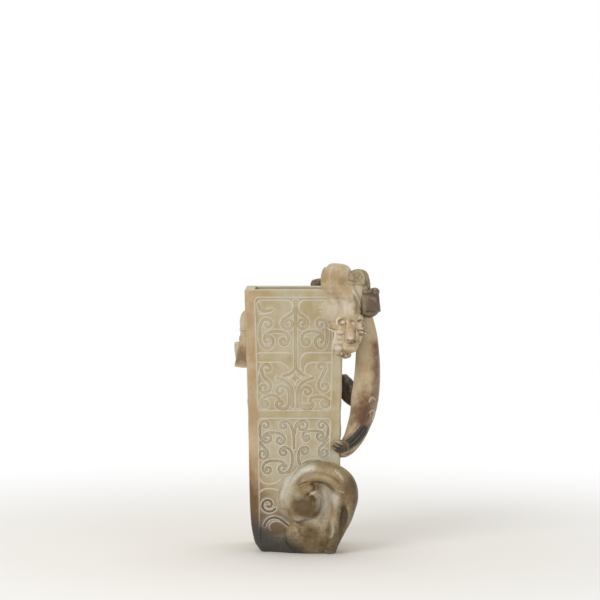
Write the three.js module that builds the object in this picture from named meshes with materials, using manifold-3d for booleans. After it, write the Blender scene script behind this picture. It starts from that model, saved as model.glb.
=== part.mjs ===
// Square stone vase with a dragon climbing its front right corner.
//
// The body is four carved slabs standing on a foot block. The side slabs run the full depth, so
// their edges show on the front and back faces beside the carved panels. The dragons are separate
// carvings, seated against the slabs and pinned to them by dowels in blind sockets.
//
// Millimetres. X points right, Y points to the back, Z points up. The origin is the middle of the
// foot's flat underside. Seen from the front, the large dragon is on the right.

import * as THREE from 'three';
import { mergeVertices } from 'three/addons/utils/BufferGeometryUtils.js';
import Module from 'manifold-3d';

const wasm = await Module();
wasm.setup();

// Body
const vaseHeight = 365;
const waistReach = 62; // middle line to the outer face, low on the body
const rimFlare = 7; // how much further out the faces stand at the rim
const wallThickness = 14;
const footHeight = 20;
const footDrawIn = 18; // how far the worn foot draws in at the ground
const footDrawInFade = 19; // height over which that rounding fades
const tenonHeight = 6; // raised middle of the foot block, inside the walls
const cornerEase = 2.5; // bevel on the body's four upright corners
const seatGap = 0.3; // gap of every cemented or seated joint
const wallStep = 36; // spacing of the body's section levels
const domeReach = 0.8; // how far a rounded end stands out, as a share of its half width
const facetMerge = 0.08; // facets that lie within this of their neighbours' plane are merged

// Carved panels, the same on all four faces
const frameMargin = 2; // seam to the edge of the sunk panel
const carvingDepth = 1.2;
const upperPanelTop = 351;
const upperPanelFloor = 198;
const lowerPanelTop = 187;
const lowerPanelFloor = 25;
const panelCorner = 4;
const barHeight = 271; // middle of the two cushion bars across the upper panel
const barWidth = 8;
const barSlope = 3.5;
const barEnd = 3; // panel edge to the end of a bar
const barGap = 6; // middle line to the inner end of a bar
const scrollWidth = 5.2; // flat top of the raised bands
const scrollSlope = 0.9; // width of each sloping side
const scrollRise = 1; // sunk ground to the top of a band
const lineWidth = 1.6;
const upperAxis = 2; // the carving's middle line in the upper panel, right of the true one
const upperSqueeze = 0.88; // its right half is drawn this much narrower
const lowerAxis = -0.5;
const diamondHeight = 242.6;
const diamondHalfWidth = 10;
const diamondHalfHeight = 9.8;

// Dragon on the front right corner
const headDrop = 65; // rim down to the middle of the head
const headHalfWidth = 19.5;
const headHeight = 62;
const headStandoff = 15; // front face to the head's own axis
const haunchRadius = 20.5;
const tuftRadius = 13;
const tuftStandoff = 20; // corner out to the tuft's eye
const tuftRise = 15; // rim up to the tuft's eye
const tuftThickness = 24;
const crestWidth = 28;
const crestHeight = 37;
const crestThickness = 32;
const crestStandoff = 35; // corner out to the crest's middle
const crestDrop = 18; // rim down to the crest's middle
const handleReach = 35.5; // wall to the middle of the handle at its widest sweep
const handleGripHeight = 142; // where the handle meets the wall
const handleHalfWidth = 18.5;
const handleHalfThickness = 12.5;
const handleSetback = 17; // front face back to the handle's middle plane
const pawSize = 9;

// Coiled tail at the foot
const coilInset = 27; // face in to the coil's middle
const coilHeight = 69;
const coilRadius = 56; // middle of the coil to its outer edge

// Small dragon on the left side
const leftDragonDrop = 30; // rim down to its top
const leftDragonHeight = 78;
const leftDragonReach = 19;
const leftDragonHalfDepth = 20;
const leftDragonSetback = 34; // front face back to its middle plane
const finHalfDepth = 9;
const finSetback = 27; // behind the small dragon's middle plane

// Rear dragon
const rearCrestRise = 9;
const rearBodyRadius = 12;
const rearLimbHeight = 222;
const rearLimbRadius = 14;
const rearLimbSetback = 18; // back face forward to the limb's middle plane
const rearBend = 0.46; // share of the way from the rim to the limb where its dowel sits

// Dowels
const dowelRadius = 3;
const dowelBite = 10; // depth of each blind socket
const dowelSides = 10;

// Stone colours and finishes
const paleStone = stone(0xcbb893, 0.5);
const slabStone = stone(0xc4ad84, 0.52);
const edgeStone = stone(0xb9966a, 0.52);
const darkStone = stone(0x6a5443, 0.45);
const coilStone = stone(0xa58c68, 0.45);
const dowelStone = stone(0xb5aa96, 0.7);

function stone(colour, roughness) {
  return new THREE.MeshStandardMaterial({ color: colour, roughness, metalness: 0 });
}

// Distance from the middle line to the outer face at a height. The face flares in a slow curve
// towards the rim, and the worn foot draws in quickly near the ground.
function faceReach(height) {
  const share = height / vaseHeight;
  return waistReach + rimFlare * share * share - footDrawIn * Math.exp(-height / footDrawInFade);
}

// Distance from the middle line to the walls' inner face, and to the slabs' upright seams.
function cavityReach(height) {
  const share = height / vaseHeight;
  return waistReach + rimFlare * share * share - wallThickness;
}

// Heights at which the body's section is drawn: close together at the foot, then in even steps.
function levels(low, high) {
  const heights = [footHeight];
  for (const share of [0.1, 0.25, 0.5, 0.8, 1.5, 2.1, 3, 4.4]) {
    heights.push(share * footDrawInFade);
  }
  for (let height = 4.4 * footDrawInFade + wallStep; height < vaseHeight; height += wallStep) {
    heights.push(height);
  }
  const inside = heights.filter((height) => height > low + 0.01 && height < high - 1);
  return [low, ...inside.toSorted((a, b) => a - b), high];
}

// Closes a row of rings into one skin, with a fan over each end ring.
function skin(rings) {
  const count = rings[0].length;
  const positions = [];
  const triangles = [];
  for (const ring of rings) {
    for (const point of ring) positions.push(point.x, point.y, point.z);
  }
  for (let row = 0; row < rings.length - 1; row += 1) {
    for (let column = 0; column < count; column += 1) {
      const next = (column + 1) % count;
      const a = row * count + column;
      const b = row * count + next;
      triangles.push(a, b, b + count, a, b + count, a + count);
    }
  }
  const last = (rings.length - 1) * count;
  for (let column = 1; column < count - 1; column += 1) {
    triangles.push(0, column + 1, column);
    triangles.push(last, last + column, last + column + 1);
  }
  const geometry = new THREE.BufferGeometry();
  geometry.setAttribute('position', new THREE.Float32BufferAttribute(positions, 3));
  geometry.setIndex(triangles);
  if (signedVolume(positions, triangles) < 0) geometry.setIndex(triangles.toReversed());
  return geometry;
}

function signedVolume(positions, triangles) {
  const corner = (index) => new THREE.Vector3().fromArray(positions, index * 3);
  let total = 0;
  for (let start = 0; start < triangles.length; start += 3) {
    const [a, b, c] = triangles.slice(start, start + 3).map(corner);
    total += a.dot(b.cross(c)) / 6;
  }
  return total;
}

// A closed geometry as a solid that can be joined and cut.
function toSolid(geometry) {
  const bare = geometry.clone();
  bare.deleteAttribute('normal');
  bare.deleteAttribute('uv');
  const merged = mergeVertices(bare, 1e-4);
  return new wasm.Manifold(new wasm.Mesh({
    numProp: 3,
    vertProperties: new Float32Array(merged.attributes.position.array),
    triVerts: new Uint32Array(merged.index.array),
  }));
}

function toGeometry(solid) {
  const mesh = solid.getMesh();
  const geometry = new THREE.BufferGeometry();
  geometry.setAttribute('position', new THREE.Float32BufferAttribute(mesh.vertProperties, 3));
  geometry.setIndex(Array.from(mesh.triVerts));
  return geometry;
}

function join(...solids) {
  return solids.reduce((whole, next) => whole.add(next));
}

function cut(solid, ...cutters) {
  return cutters.reduce((rest, cutter) => rest.subtract(cutter), solid);
}

function vector(x, y, z) {
  return new THREE.Vector3(x, y, z);
}

// An ellipsoid, for eyes, knobs and lobes.
function blob(centre, radii, columns = 8, rows = 6) {
  const geometry = new THREE.SphereGeometry(1, columns, rows);
  geometry.rotateX(Math.PI / 2);
  geometry.scale(radii.x, radii.y, radii.z);
  geometry.translate(centre.x, centre.y, centre.z);
  return toSolid(geometry);
}

// A section carried along a smooth path. Each station has its place, its half width along the
// direction `across` and its half depth square to that. The section is an ellipse, squared up
// where `squareness` is above 2 and pinched to ridges where it is below. `grow` swells the whole
// form, and is used to cut a seat for it in its neighbours. Round ends close like half a ball.
function sweep(stations, options) {
  const { across, steps, sides = 12, squareness = 2, grow = 0, roundEnds = [true, true] } = options;
  const path = new THREE.CatmullRomCurve3(stations.map((station) => vector(...station.at)));
  const sizes = new THREE.CatmullRomCurve3(stations.map(({ wide, deep }) => vector(wide, deep, 0)));
  const rings = [];
  const ring = (share, shrink, push) => {
    const centre = path.getPoint(share);
    const along = path.getTangent(share);
    const size = sizes.getPoint(share);
    const side = across.clone().addScaledVector(along, -across.dot(along)).normalize();
    const out = along.clone().cross(side);
    const points = [];
    for (let index = 0; index < sides; index += 1) {
      const angle = (2 * Math.PI * (index + 0.5)) / sides;
      const wide = rounded(Math.cos(angle), squareness) * (size.x + grow) * shrink;
      const deep = rounded(Math.sin(angle), squareness) * (size.y + grow) * shrink;
      const reach = push * (Math.min(size.x, size.y) + grow);
      points.push(centre.clone().addScaledVector(side, wide).addScaledVector(out, deep)
        .addScaledVector(along, reach));
    }
    rings.push(points);
  };
  const dome = [0.35, 0.75].map((share) => share * Math.PI / 2);
  if (roundEnds[0]) {
    for (const turn of dome) ring(0, Math.sin(turn), -domeReach * Math.cos(turn));
  }
  for (let step = 0; step <= steps; step += 1) ring(step / steps, 1, 0);
  if (roundEnds[1]) {
    for (const turn of dome.toReversed()) ring(1, Math.sin(turn), domeReach * Math.cos(turn));
  }
  return toSolid(skin(rings));
}

function rounded(value, squareness) {
  return Math.sign(value) * Math.abs(value) ** (2 / squareness);
}

// A solid built of level rings, each an ellipse with its own front and back depth.
function levelLoft(rows, { sides = 14, squareness = 2, grow = 0 }) {
  const rings = rows.map(({ height, x, y, wide, front, back }) => {
    const points = [];
    for (let index = 0; index < sides; index += 1) {
      const angle = (2 * Math.PI * (index + 0.5)) / sides;
      const depth = Math.sin(angle) < 0 ? front : back;
      const right = rounded(Math.cos(angle), squareness) * (wide + grow);
      const rear = rounded(Math.sin(angle), squareness) * (depth + grow);
      points.push(vector(x + right, y + rear, height));
    }
    return points;
  });
  return toSolid(skin(rings));
}

// The body's outer form up to a height: a square with eased corners at every level.
function bodyForm(top, grow = 0) {
  return toSolid(skin(levels(0, top).map((height) => {
    const reach = faceReach(height) + grow;
    const ease = reach - cornerEase;
    return [
      vector(-ease, -reach, height), vector(ease, -reach, height),
      vector(reach, -ease, height), vector(reach, ease, height),
      vector(ease, reach, height), vector(-ease, reach, height),
      vector(-reach, ease, height), vector(-reach, -ease, height),
    ];
  })));
}

// The whole body swollen by the seat gap, to cut seats in the figures.
const bodyBlock = bodyForm(vaseHeight + seatGap, seatGap);

// A dowel between two points, and the socket that takes it.
function pin(from, to, radius) {
  const length = from.distanceTo(to);
  const geometry = new THREE.CylinderGeometry(radius, radius, length, dowelSides);
  geometry.rotateX(Math.PI / 2);
  const turn = new THREE.Quaternion().setFromUnitVectors(vector(0, 0, 1), to.clone().sub(from).normalize());
  geometry.applyQuaternion(turn);
  const middle = from.clone().add(to).multiplyScalar(0.5);
  geometry.translate(middle.x, middle.y, middle.z);
  return geometry;
}

// A joint is the point where two pieces meet, and the direction square to their seat.
function dowel(meeting, direction) {
  const reach = direction.clone().setLength(dowelBite);
  return pin(meeting.clone().sub(reach), meeting.clone().add(reach), dowelRadius);
}

function socket(meeting, direction) {
  const reach = direction.clone().setLength(dowelBite + seatGap);
  return toSolid(pin(meeting.clone().sub(reach), meeting.clone().add(reach), dowelRadius + seatGap));
}

// Where each dowel crosses the seat between its two pieces, and which way it points.
const rimReach = faceReach(vaseHeight);
const headHeightOnBody = vaseHeight - headDrop;
const crestHeightOnBody = vaseHeight - crestDrop;
const handlePlane = -rimReach + handleSetback;
const coilMiddleX = waistReach - coilInset;
const leftDragonFoot = vaseHeight - leftDragonDrop - leftDragonHeight;
const leftDragonMiddle = leftDragonFoot + leftDragonHeight / 2;
const rearSpan = vaseHeight - rearLimbHeight;
const rearBendHeight = vaseHeight - rearBend * rearSpan;
const rearBendX = rimReach - 2.58 * rearBodyRadius;
const joints = {
  haunch_dowel: [
    vector(rimReach - wallThickness / 2, -rimReach + wallThickness, vaseHeight),
    vector(0, 0, 1),
  ],
  head_dowel: [
    vector(faceReach(headHeightOnBody) - wallThickness / 2, -faceReach(headHeightOnBody),
    headHeightOnBody),
    vector(0, 1, 0),
  ],
  tuft_dowel: [
    vector(rimReach + tuftStandoff - tuftRadius, handlePlane, vaseHeight + tuftRise),
    vector(1, 0, 0),
  ],
  crest_dowel: [
    vector(
      rimReach + crestStandoff - 0.28 * crestWidth,
      handlePlane - 0.25 * crestThickness,
      crestHeightOnBody,
    ),
    vector(1, 0, 0),
  ],
  handle_top_dowel: [
    vector(rimReach + crestStandoff - 0.18 * crestWidth, handlePlane, crestHeightOnBody - crestHeight / 2),
    vector(0, 0, 1),
  ],
  handle_foot_dowel: [vector(faceReach(handleGripHeight), handlePlane, handleGripHeight), vector(1, 0, 0)],
  coil_upper_dowel: [
    vector(coilMiddleX - 0.21 * coilRadius, -waistReach, coilHeight + 0.8 * coilRadius),
    vector(0, 1, 0),
  ],
  coil_lower_dowel: [
    vector(coilMiddleX - 0.41 * coilRadius, -waistReach, coilHeight + 0.07 * coilRadius),
    vector(0, 1, 0),
  ],
  left_dragon_dowel: [
    vector(-faceReach(leftDragonMiddle), -rimReach + leftDragonSetback, leftDragonMiddle),
    vector(1, 0, 0),
  ],
  rear_body_dowel: [vector(rearBendX, faceReach(rearBendHeight), rearBendHeight), vector(0, 1, 0)],
  rear_limb_dowel: [
    vector(faceReach(rearLimbHeight), rimReach - rearLimbSetback, rearLimbHeight),
    vector(1, 0, 0),
  ],
};

function socketsFor(...names) {
  return names.map((name) => socket(...joints[name]));
}

// A point on a face, given across it, up it and out from the sunk ground of the carving. The
// carving is drawn on the front face and turned round the middle line for the other three.
function onFace(across, height, out) {
  return vector(across, -faceReach(height) + carvingDepth - out, height);
}

// The sunk ground of one panel, as a cutter with cut-off corners.
function panelCutter(floor, top) {
  const inner = levels(floor + panelCorner, top - panelCorner);
  const rows = [[floor, panelCorner], ...inner.map((height) => [height, 0]), [top, panelCorner]];
  return toSolid(skin(rows.map(([height, inset]) => {
    const half = cavityReach(height) - frameMargin - inset;
    return [
      onFace(-half, height, carvingDepth + 1), onFace(half, height, carvingDepth + 1),
      onFace(half, height, 0), onFace(-half, height, 0),
    ];
  })));
}

// A raised band along a line drawn on the face: flat on top, with sloping sides and mitred corners.
function rib(line, width, slope, rise) {
  const points = line.map((point) => new THREE.Vector2(...point));
  const legs = points.slice(1).map((point, index) => point.clone().sub(points[index]).normalize());
  const rings = points.map((point, index) => {
    const before = legs[Math.max(index - 1, 0)];
    const after = legs[Math.min(index, legs.length - 1)];
    const mitre = before.clone().add(after).normalize();
    const stretch = 1 / Math.max(mitre.dot(after), 0.6);
    const place = (offset, out) => (
      onFace(point.x - mitre.y * offset * stretch, point.y + mitre.x * offset * stretch, out)
    );
    const half = width / 2;
    return [
      place(-half - slope, -0.5), place(-half, rise), place(half, rise), place(half + slope, -0.5),
    ];
  });
  return toSolid(skin(rings));
}

// Scrolls on the left half of a face: the middle line of each raised band, across and up. They
// hook round the eyes of the beast mask, and the right half mirrors them.
const upperScrolls = [
  [[-1, 348], [-3, 332], [-16.5, 321], [-11, 311.5], [-2.5, 316]],
  [[-32, 312], [-38, 324], [-46.5, 312], [-45, 288], [-31, 286], [-35, 299]],
  [[-41, 298], [-27, 307], [-9, 301], [-14, 288]],
  [[-1.5, 258], [-14.5, 246]],
  [[-33, 262], [-45, 257], [-34, 237], [-36, 223], [-46, 227]],
  [[-23.5, 243], [-5, 231], [-2.3, 203]],
  [[-24, 230], [-9.5, 228], [-7, 208], [-18, 200.5], [-25, 208]],
  [[-20.5, 213], [-33, 219], [-45, 209]],
];
const lowerScrolls = [
  [[-34, 172], [-37, 182], [-46, 172], [-42, 155], [-33, 160]],
  [[-42.5, 161], [-30, 167.5], [-14, 161], [-20, 151]],
  [[-19, 180], [-7, 181], [-1.5, 148]],
  [[-46, 153], [-37.5, 139], [-46, 131]],
  [[-20.5, 138], [-13, 147], [-3.5, 135], [-6, 113], [-21, 114]],
  [[-11, 120.5], [-27, 128.5], [-43, 119], [-33, 111]],
  [[-28, 57], [-43, 62], [-37, 76], [-28, 68]],
  [[-39.8, 33], [-27, 50], [-2, 34.5]],
];
const leafLine = [[-46, 126], [-43, 101], [-20, 100]];

function mirrored(line, axis, squeeze) {
  return line.map(([across, height]) => [axis + (axis - across) * squeeze, height]);
}

// Everything that stands up from the sunk ground: bars, spine, lozenge and scrolls.
function panelRibs() {
  const scroll = (line) => rib(line, scrollWidth, scrollSlope, scrollRise);
  const bar = (side) => {
    const end = side * (cavityReach(barHeight) - frameMargin - barEnd);
    return rib([[side * barGap, barHeight], [end, barHeight]], barWidth, barSlope, carvingDepth + 0.5);
  };
  const spine = [
    [upperAxis, upperPanelTop - barWidth],
    [upperAxis, diamondHeight + diamondHalfHeight],
  ];
  const ribs = [bar(-1), bar(1), scroll(spine)];
  for (const line of upperScrolls) ribs.push(scroll(line), scroll(mirrored(line, upperAxis, upperSqueeze)));
  for (const line of lowerScrolls) ribs.push(scroll(line), scroll(mirrored(line, lowerAxis, 1)));
  for (const line of [leafLine, mirrored(leafLine, lowerAxis, 1)]) {
    ribs.push(rib(line, lineWidth, scrollSlope, scrollRise));
  }
  const lozenge = [
    [0, diamondHeight + diamondHalfHeight], [diamondHalfWidth, diamondHeight],
    [0, diamondHeight - diamondHalfHeight], [-diamondHalfWidth, diamondHeight],
  ];
  const corners = lozenge.map(([across, height]) => onFace(upperAxis + across, height, scrollRise));
  const sunk = lozenge.map(([across, height]) => onFace(upperAxis + across, height, -0.5));
  ribs.push(toSolid(skin([sunk, corners])));
  return join(...ribs);
}

// Carves one wall, drawn as if it were the front one: the panels are sunk, all but their bands.
function carve(slab) {
  const standing = panelRibs();
  const upper = panelCutter(upperPanelFloor, upperPanelTop);
  const lower = panelCutter(lowerPanelFloor, lowerPanelTop);
  return cut(slab, cut(upper, standing), cut(lower, standing));
}

// The slab between the side slabs, for the front and the back.
function faceSlab() {
  return toSolid(skin(levels(footHeight, vaseHeight).map((height) => {
    const half = cavityReach(height) - seatGap / 2;
    const outer = faceReach(height);
    const inner = cavityReach(height);
    return [
      vector(-half, -outer, height), vector(half, -outer, height),
      vector(half, -inner, height), vector(-half, -inner, height),
    ];
  })));
}

// The full-depth side slab, drawn as if it were at the front, with its outer corners eased.
function sideSlab() {
  return toSolid(skin(levels(footHeight, vaseHeight).map((height) => {
    const outer = faceReach(height);
    const ease = outer - cornerEase;
    const inner = cavityReach(height) + seatGap / 2;
    return [
      vector(-ease, -outer, height), vector(ease, -outer, height), vector(outer, -ease, height),
      vector(outer, -inner, height), vector(-outer, -inner, height), vector(-outer, -ease, height),
    ];
  })));
}

// Foot block with its rounded foot, and a tenon that the four slabs stand around.
function footBlock() {
  const half = cavityReach(footHeight) - seatGap;
  const rise = tenonHeight + footHeight / 2;
  const tenon = new THREE.BoxGeometry(2 * half, 2 * half, rise);
  tenon.translate(0, 0, footHeight + tenonHeight - rise / 2);
  return join(bodyForm(footHeight - seatGap), toSolid(tenon));
}

// Haunch lapping over the corner of the rim, back along the right rim, neck down to the head, nape
// behind it and shoulder lapping on to the front face, as one carving. Places are shares of the
// haunch's radius from the rim's corner, and so are the half widths.
function dragonBody(grow = 0) {
  const row = (x, y, z, wide, deep) => ({
    at: [rimReach + x * haunchRadius, -rimReach + y * haunchRadius, vaseHeight + z * haunchRadius],
    wide: wide * haunchRadius, deep: deep * haunchRadius,
  });
  const across = vector(1, 0, 0);
  const haunch = sweep([
    row(-0.34, 0.44, -0.7, 0.44, 0.63), row(-0.22, 0.44, -0.55, 0.7, 0.78),
    row(-0.37, 0.49, -0.29, 0.93, 0.88),
    row(-0.5, 0.56, 0.25, 1.06, 0.98), row(-0.58, 0.62, 0.85, 1.04, 0.95),
    row(-0.52, 0.68, 1.35, 0.88, 0.83),
    row(-0.44, 0.7, 1.65, 0.66, 0.63), row(-0.44, 0.7, 1.76, 0.4, 0.4),
  ], { across, steps: 9, sides: 12, squareness: 2.6, grow, roundEnds: [true, false] });
  const back = sweep([
    row(-0.15, 1, 0.85, 0.74, 0.63), row(-0.05, 1.8, 0.93, 0.63, 0.59),
    row(-0.05, 2.78, 0.78, 0.54, 0.54),
    row(-0.24, 3.66, 0.49, 0.39, 0.44),
  ], { across, steps: 4, sides: 8, squareness: 2.2, grow });
  const neck = sweep([
    row(-0.05, 0.34, 0.15, 0.73, 0.63), row(0.15, 0.05, -0.39, 0.71, 0.68),
    row(0.29, -0.24, -0.88, 0.66, 0.71),
    row(0.34, -0.49, -1.41, 0.63, 0.68), row(0.32, -0.6, -1.95, 0.62, 0.64),
  ], { across, steps: 4, sides: 10, squareness: 2.3, grow });
  const nape = sweep([
    row(0.83, 0.54, 0.1, 0.49, 0.59), row(0.93, 0.54, -0.34, 0.44, 0.59),
    row(0.98, 0.54, -0.93, 0.34, 0.54),
    row(1.02, 0.54, -1.4, 0.24, 0.44),
  ], { across, steps: 3, sides: 8, squareness: 2.4, grow });
  const shoulder = sweep([
    row(-1.41, 0.07, -1.17, 0.68, 0.15), row(-0.93, 0, -1.32, 0.93, 0.29),
    row(-0.34, -0.1, -1.51, 1.07, 0.44),
  ], { across: vector(0, 0, 1), steps: 2, sides: 8, grow });
  return join(haunch, back, neck, nape, shoulder);
}

// Head facing the front, built of level rings from the chin up to the forehead.
function headForm(grow = 0) {
  const middle = headHeightOnBody;
  const half = headHeight / 2;
  const axisY = -faceReach(middle) - headStandoff;
  const row = (rise, wide, front, shift = 0) => ({
    height: middle + rise * half, x: faceReach(middle) + 1 + shift, y: axisY,
    wide: wide * headHalfWidth, front: front * headHalfWidth, back: 0.95 * wide * headHalfWidth,
  });
  return levelLoft([
    row(-1, 0.2, 0.3, -3), row(-0.93, 0.45, 0.65, -3),
    row(-0.75, 0.68, 1.05, -3), row(-0.55, 0.75, 1.0, -2),
    row(-0.45, 0.78, 1.3, -1), row(-0.2, 0.85, 1.35), row(-0.05, 0.95, 1.1), row(0.2, 1, 0.95),
    row(0.35, 1, 1.0), row(0.55, 0.95, 1.08), row(0.8, 0.78, 0.75), row(0.96, 0.45, 0.4),
  ], { grow });
}

// Places on the head are shares of its half width, from the middle of its own axis.
function dragonHead() {
  const onHead = (across, out, up) => vector(
    faceReach(headHeightOnBody) + 1 + across * headHalfWidth,
    -faceReach(headHeightOnBody) - headStandoff - out * headHalfWidth,
    headHeightOnBody + up * headHalfWidth,
  );
  const lump = (place, ...radii) => blob(onHead(...place), vector(...radii).multiplyScalar(headHalfWidth));
  const station = (place, wide, deep = wide) => ({
    at: onHead(...place).toArray(), wide: wide * headHalfWidth, deep: deep * headHalfWidth,
  });
  const features = [];
  for (const side of [-1, 1]) {
    features.push(lump([side * 0.44, 0.85, 0.51], 0.22, 0.21, 0.16));
    features.push(lump([side * 0.26, 1.13, -0.46], 0.23, 0.23, 0.18));
    features.push(sweep([
      station([side * 0.15, 0.92, 0.72], 0.1), station([side * 0.46, 0.95, 0.9], 0.13),
      station([side * 0.77, 0.72, 0.77], 0.13), station([side * 0.92, 0.46, 0.46], 0.09),
    ], { across: vector(0, 0, 1), steps: 5, sides: 6 }));
  }
  const nose = [
    station([0, 0.87, 0.82], 0.13, 0.15), station([0, 1.03, 0.1], 0.15, 0.17),
    station([0, 1.28, -0.41], 0.22, 0.2),
  ];
  const ear = [
    station([0.87, 0.2, 0.41], 0.1, 0.2), station([1.28, 0.15, 0.26], 0.08, 0.26),
    station([1.59, 0.1, 0.05], 0.05, 0.1),
  ];
  features.push(sweep(nose, { across: vector(1, 0, 0), steps: 4, sides: 8 }));
  features.push(sweep(ear, { across: vector(0, 1, 0), steps: 4, sides: 8 }));
  features.push(lump([-0.46, 0.77, -1.03], 0.26, 0.26, 0.23));
  features.push(lump([0.1, 0.72, -1.28], 0.41, 0.31, 0.26));
  return join(headForm(), ...features);
}

// Coiled tuft: a thick rounded disc facing the front, with its curl raised on it as a spiral.
function tuftDisc(grow = 0) {
  const row = (share, size) => ({
    at: [rimReach + tuftStandoff, handlePlane + share * tuftThickness, vaseHeight + tuftRise],
    wide: size * tuftRadius, deep: size * tuftRadius,
  });
  return sweep([
    row(-0.5, 0.8), row(-0.3, 1), row(0, 1.04), row(0.3, 1), row(0.5, 0.8),
  ], { across: vector(1, 0, 0), steps: 6, sides: 14, grow, roundEnds: [false, false] });
}

function tuft() {
  const turns = 1.25;
  const stations = [];
  for (let step = 0; step <= 10; step += 1) {
    const share = step / 10;
    const angle = Math.PI * (0.1 + 2 * turns * share);
    const radius = tuftRadius * (0.16 + 0.56 * share);
    stations.push({
      at: [
        rimReach + tuftStandoff + radius * Math.cos(angle),
        handlePlane - tuftThickness / 2,
        vaseHeight + tuftRise + radius * Math.sin(angle),
      ],
      wide: 2.2, deep: 1.8,
    });
  }
  const curl = sweep(stations, {
    across: vector(0, 1, 0), steps: 14, sides: 6, roundEnds: [false, false],
  });
  return join(tuftDisc(), curl);
}

function crestBlock(grow = 0) {
  const x = rimReach + crestStandoff;
  const row = (rise, wide, shift, thick) => ({
    height: crestHeightOnBody + rise * crestHeight / 2, x: x + shift, y: handlePlane,
    wide: wide * crestWidth / 2, front: thick * crestThickness / 2, back: thick * crestThickness / 2,
  });
  return levelLoft([
    row(-1, 0.5, -4, 0.7), row(-0.86, 0.8, -2, 0.9), row(-0.55, 1.05, 0.5, 1), row(-0.1, 1, 0, 1),
    row(0.4, 0.93, 0, 1), row(0.75, 0.85, 0.5, 0.95), row(0.94, 0.7, 2, 0.8), row(1, 0.4, 3, 0.5),
  ], { squareness: 4, grow, sides: 16 });
}

// Mane handle: down from the crest, bowed away from the wall, and back to it at the grip.
const handleTop = crestHeightOnBody - crestHeight / 2;
const handleCourse = [
  { drop: 0, bow: 0.86, wide: 0.8, thick: 0.9 },
  { drop: 0.15, bow: 0.95, wide: 0.88, thick: 1 },
  { drop: 0.34, bow: 1, wide: 0.93, thick: 1 },
  { drop: 0.52, bow: 0.97, wide: 1, thick: 1 },
  { drop: 0.65, bow: 0.89, wide: 1, thick: 0.98 },
  { drop: 0.76, bow: 0.75, wide: 0.86, thick: 0.95 },
  { drop: 0.86, bow: 0.54, wide: 0.72, thick: 0.9 },
  { drop: 0.94, bow: 0.28, wide: 0.66, thick: 0.85 },
  { drop: 1, bow: -0.05, wide: 0.64, thick: 0.8 },
];

function maneHandle(grow = 0) {
  const stations = handleCourse.map(({ drop, bow, wide, thick }) => {
    const height = handleTop - drop * (handleTop - handleGripHeight);
    return {
      at: [faceReach(height) + bow * handleReach, handlePlane, height],
      wide: thick * handleHalfThickness,
      deep: wide * handleHalfWidth,
    };
  });
  return sweep(stations, {
    across: vector(0, 1, 0), steps: 20, sides: 10, squareness: 1.7, grow, roundEnds: [false, false],
  });
}

// Clawed paw on the corner of the wall, with its toes turned on to the front face. Places are
// shares of the palm's size, from the corner at the grip.
function gripPaw() {
  const wall = faceReach(handleGripHeight);
  const at = (right, back, up) => [
    wall + right * pawSize, -wall + back * pawSize, handleGripHeight + up * pawSize,
  ];
  const station = (place, wide, deep) => ({ at: at(...place), wide: wide * pawSize, deep: deep * pawSize });
  const palm = blob(vector(...at(0.11, 0.22, 1.33)), vector(pawSize, pawSize * 0.9, pawSize));
  const toes = [0, 1, 2].map((index) => sweep([
    station([0, -0.33, 0.78 + 0.61 * index], 0.31, 0.33),
    station([-0.78, -0.44, 0.94 + 0.61 * index], 0.33, 0.33),
    station([-1.44, -0.11, 0.89 + 0.72 * index], 0.2, 0.22),
  ], { across: vector(0, 0, 1), steps: 4, sides: 7 }));
  return join(palm, ...toes);
}

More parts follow.
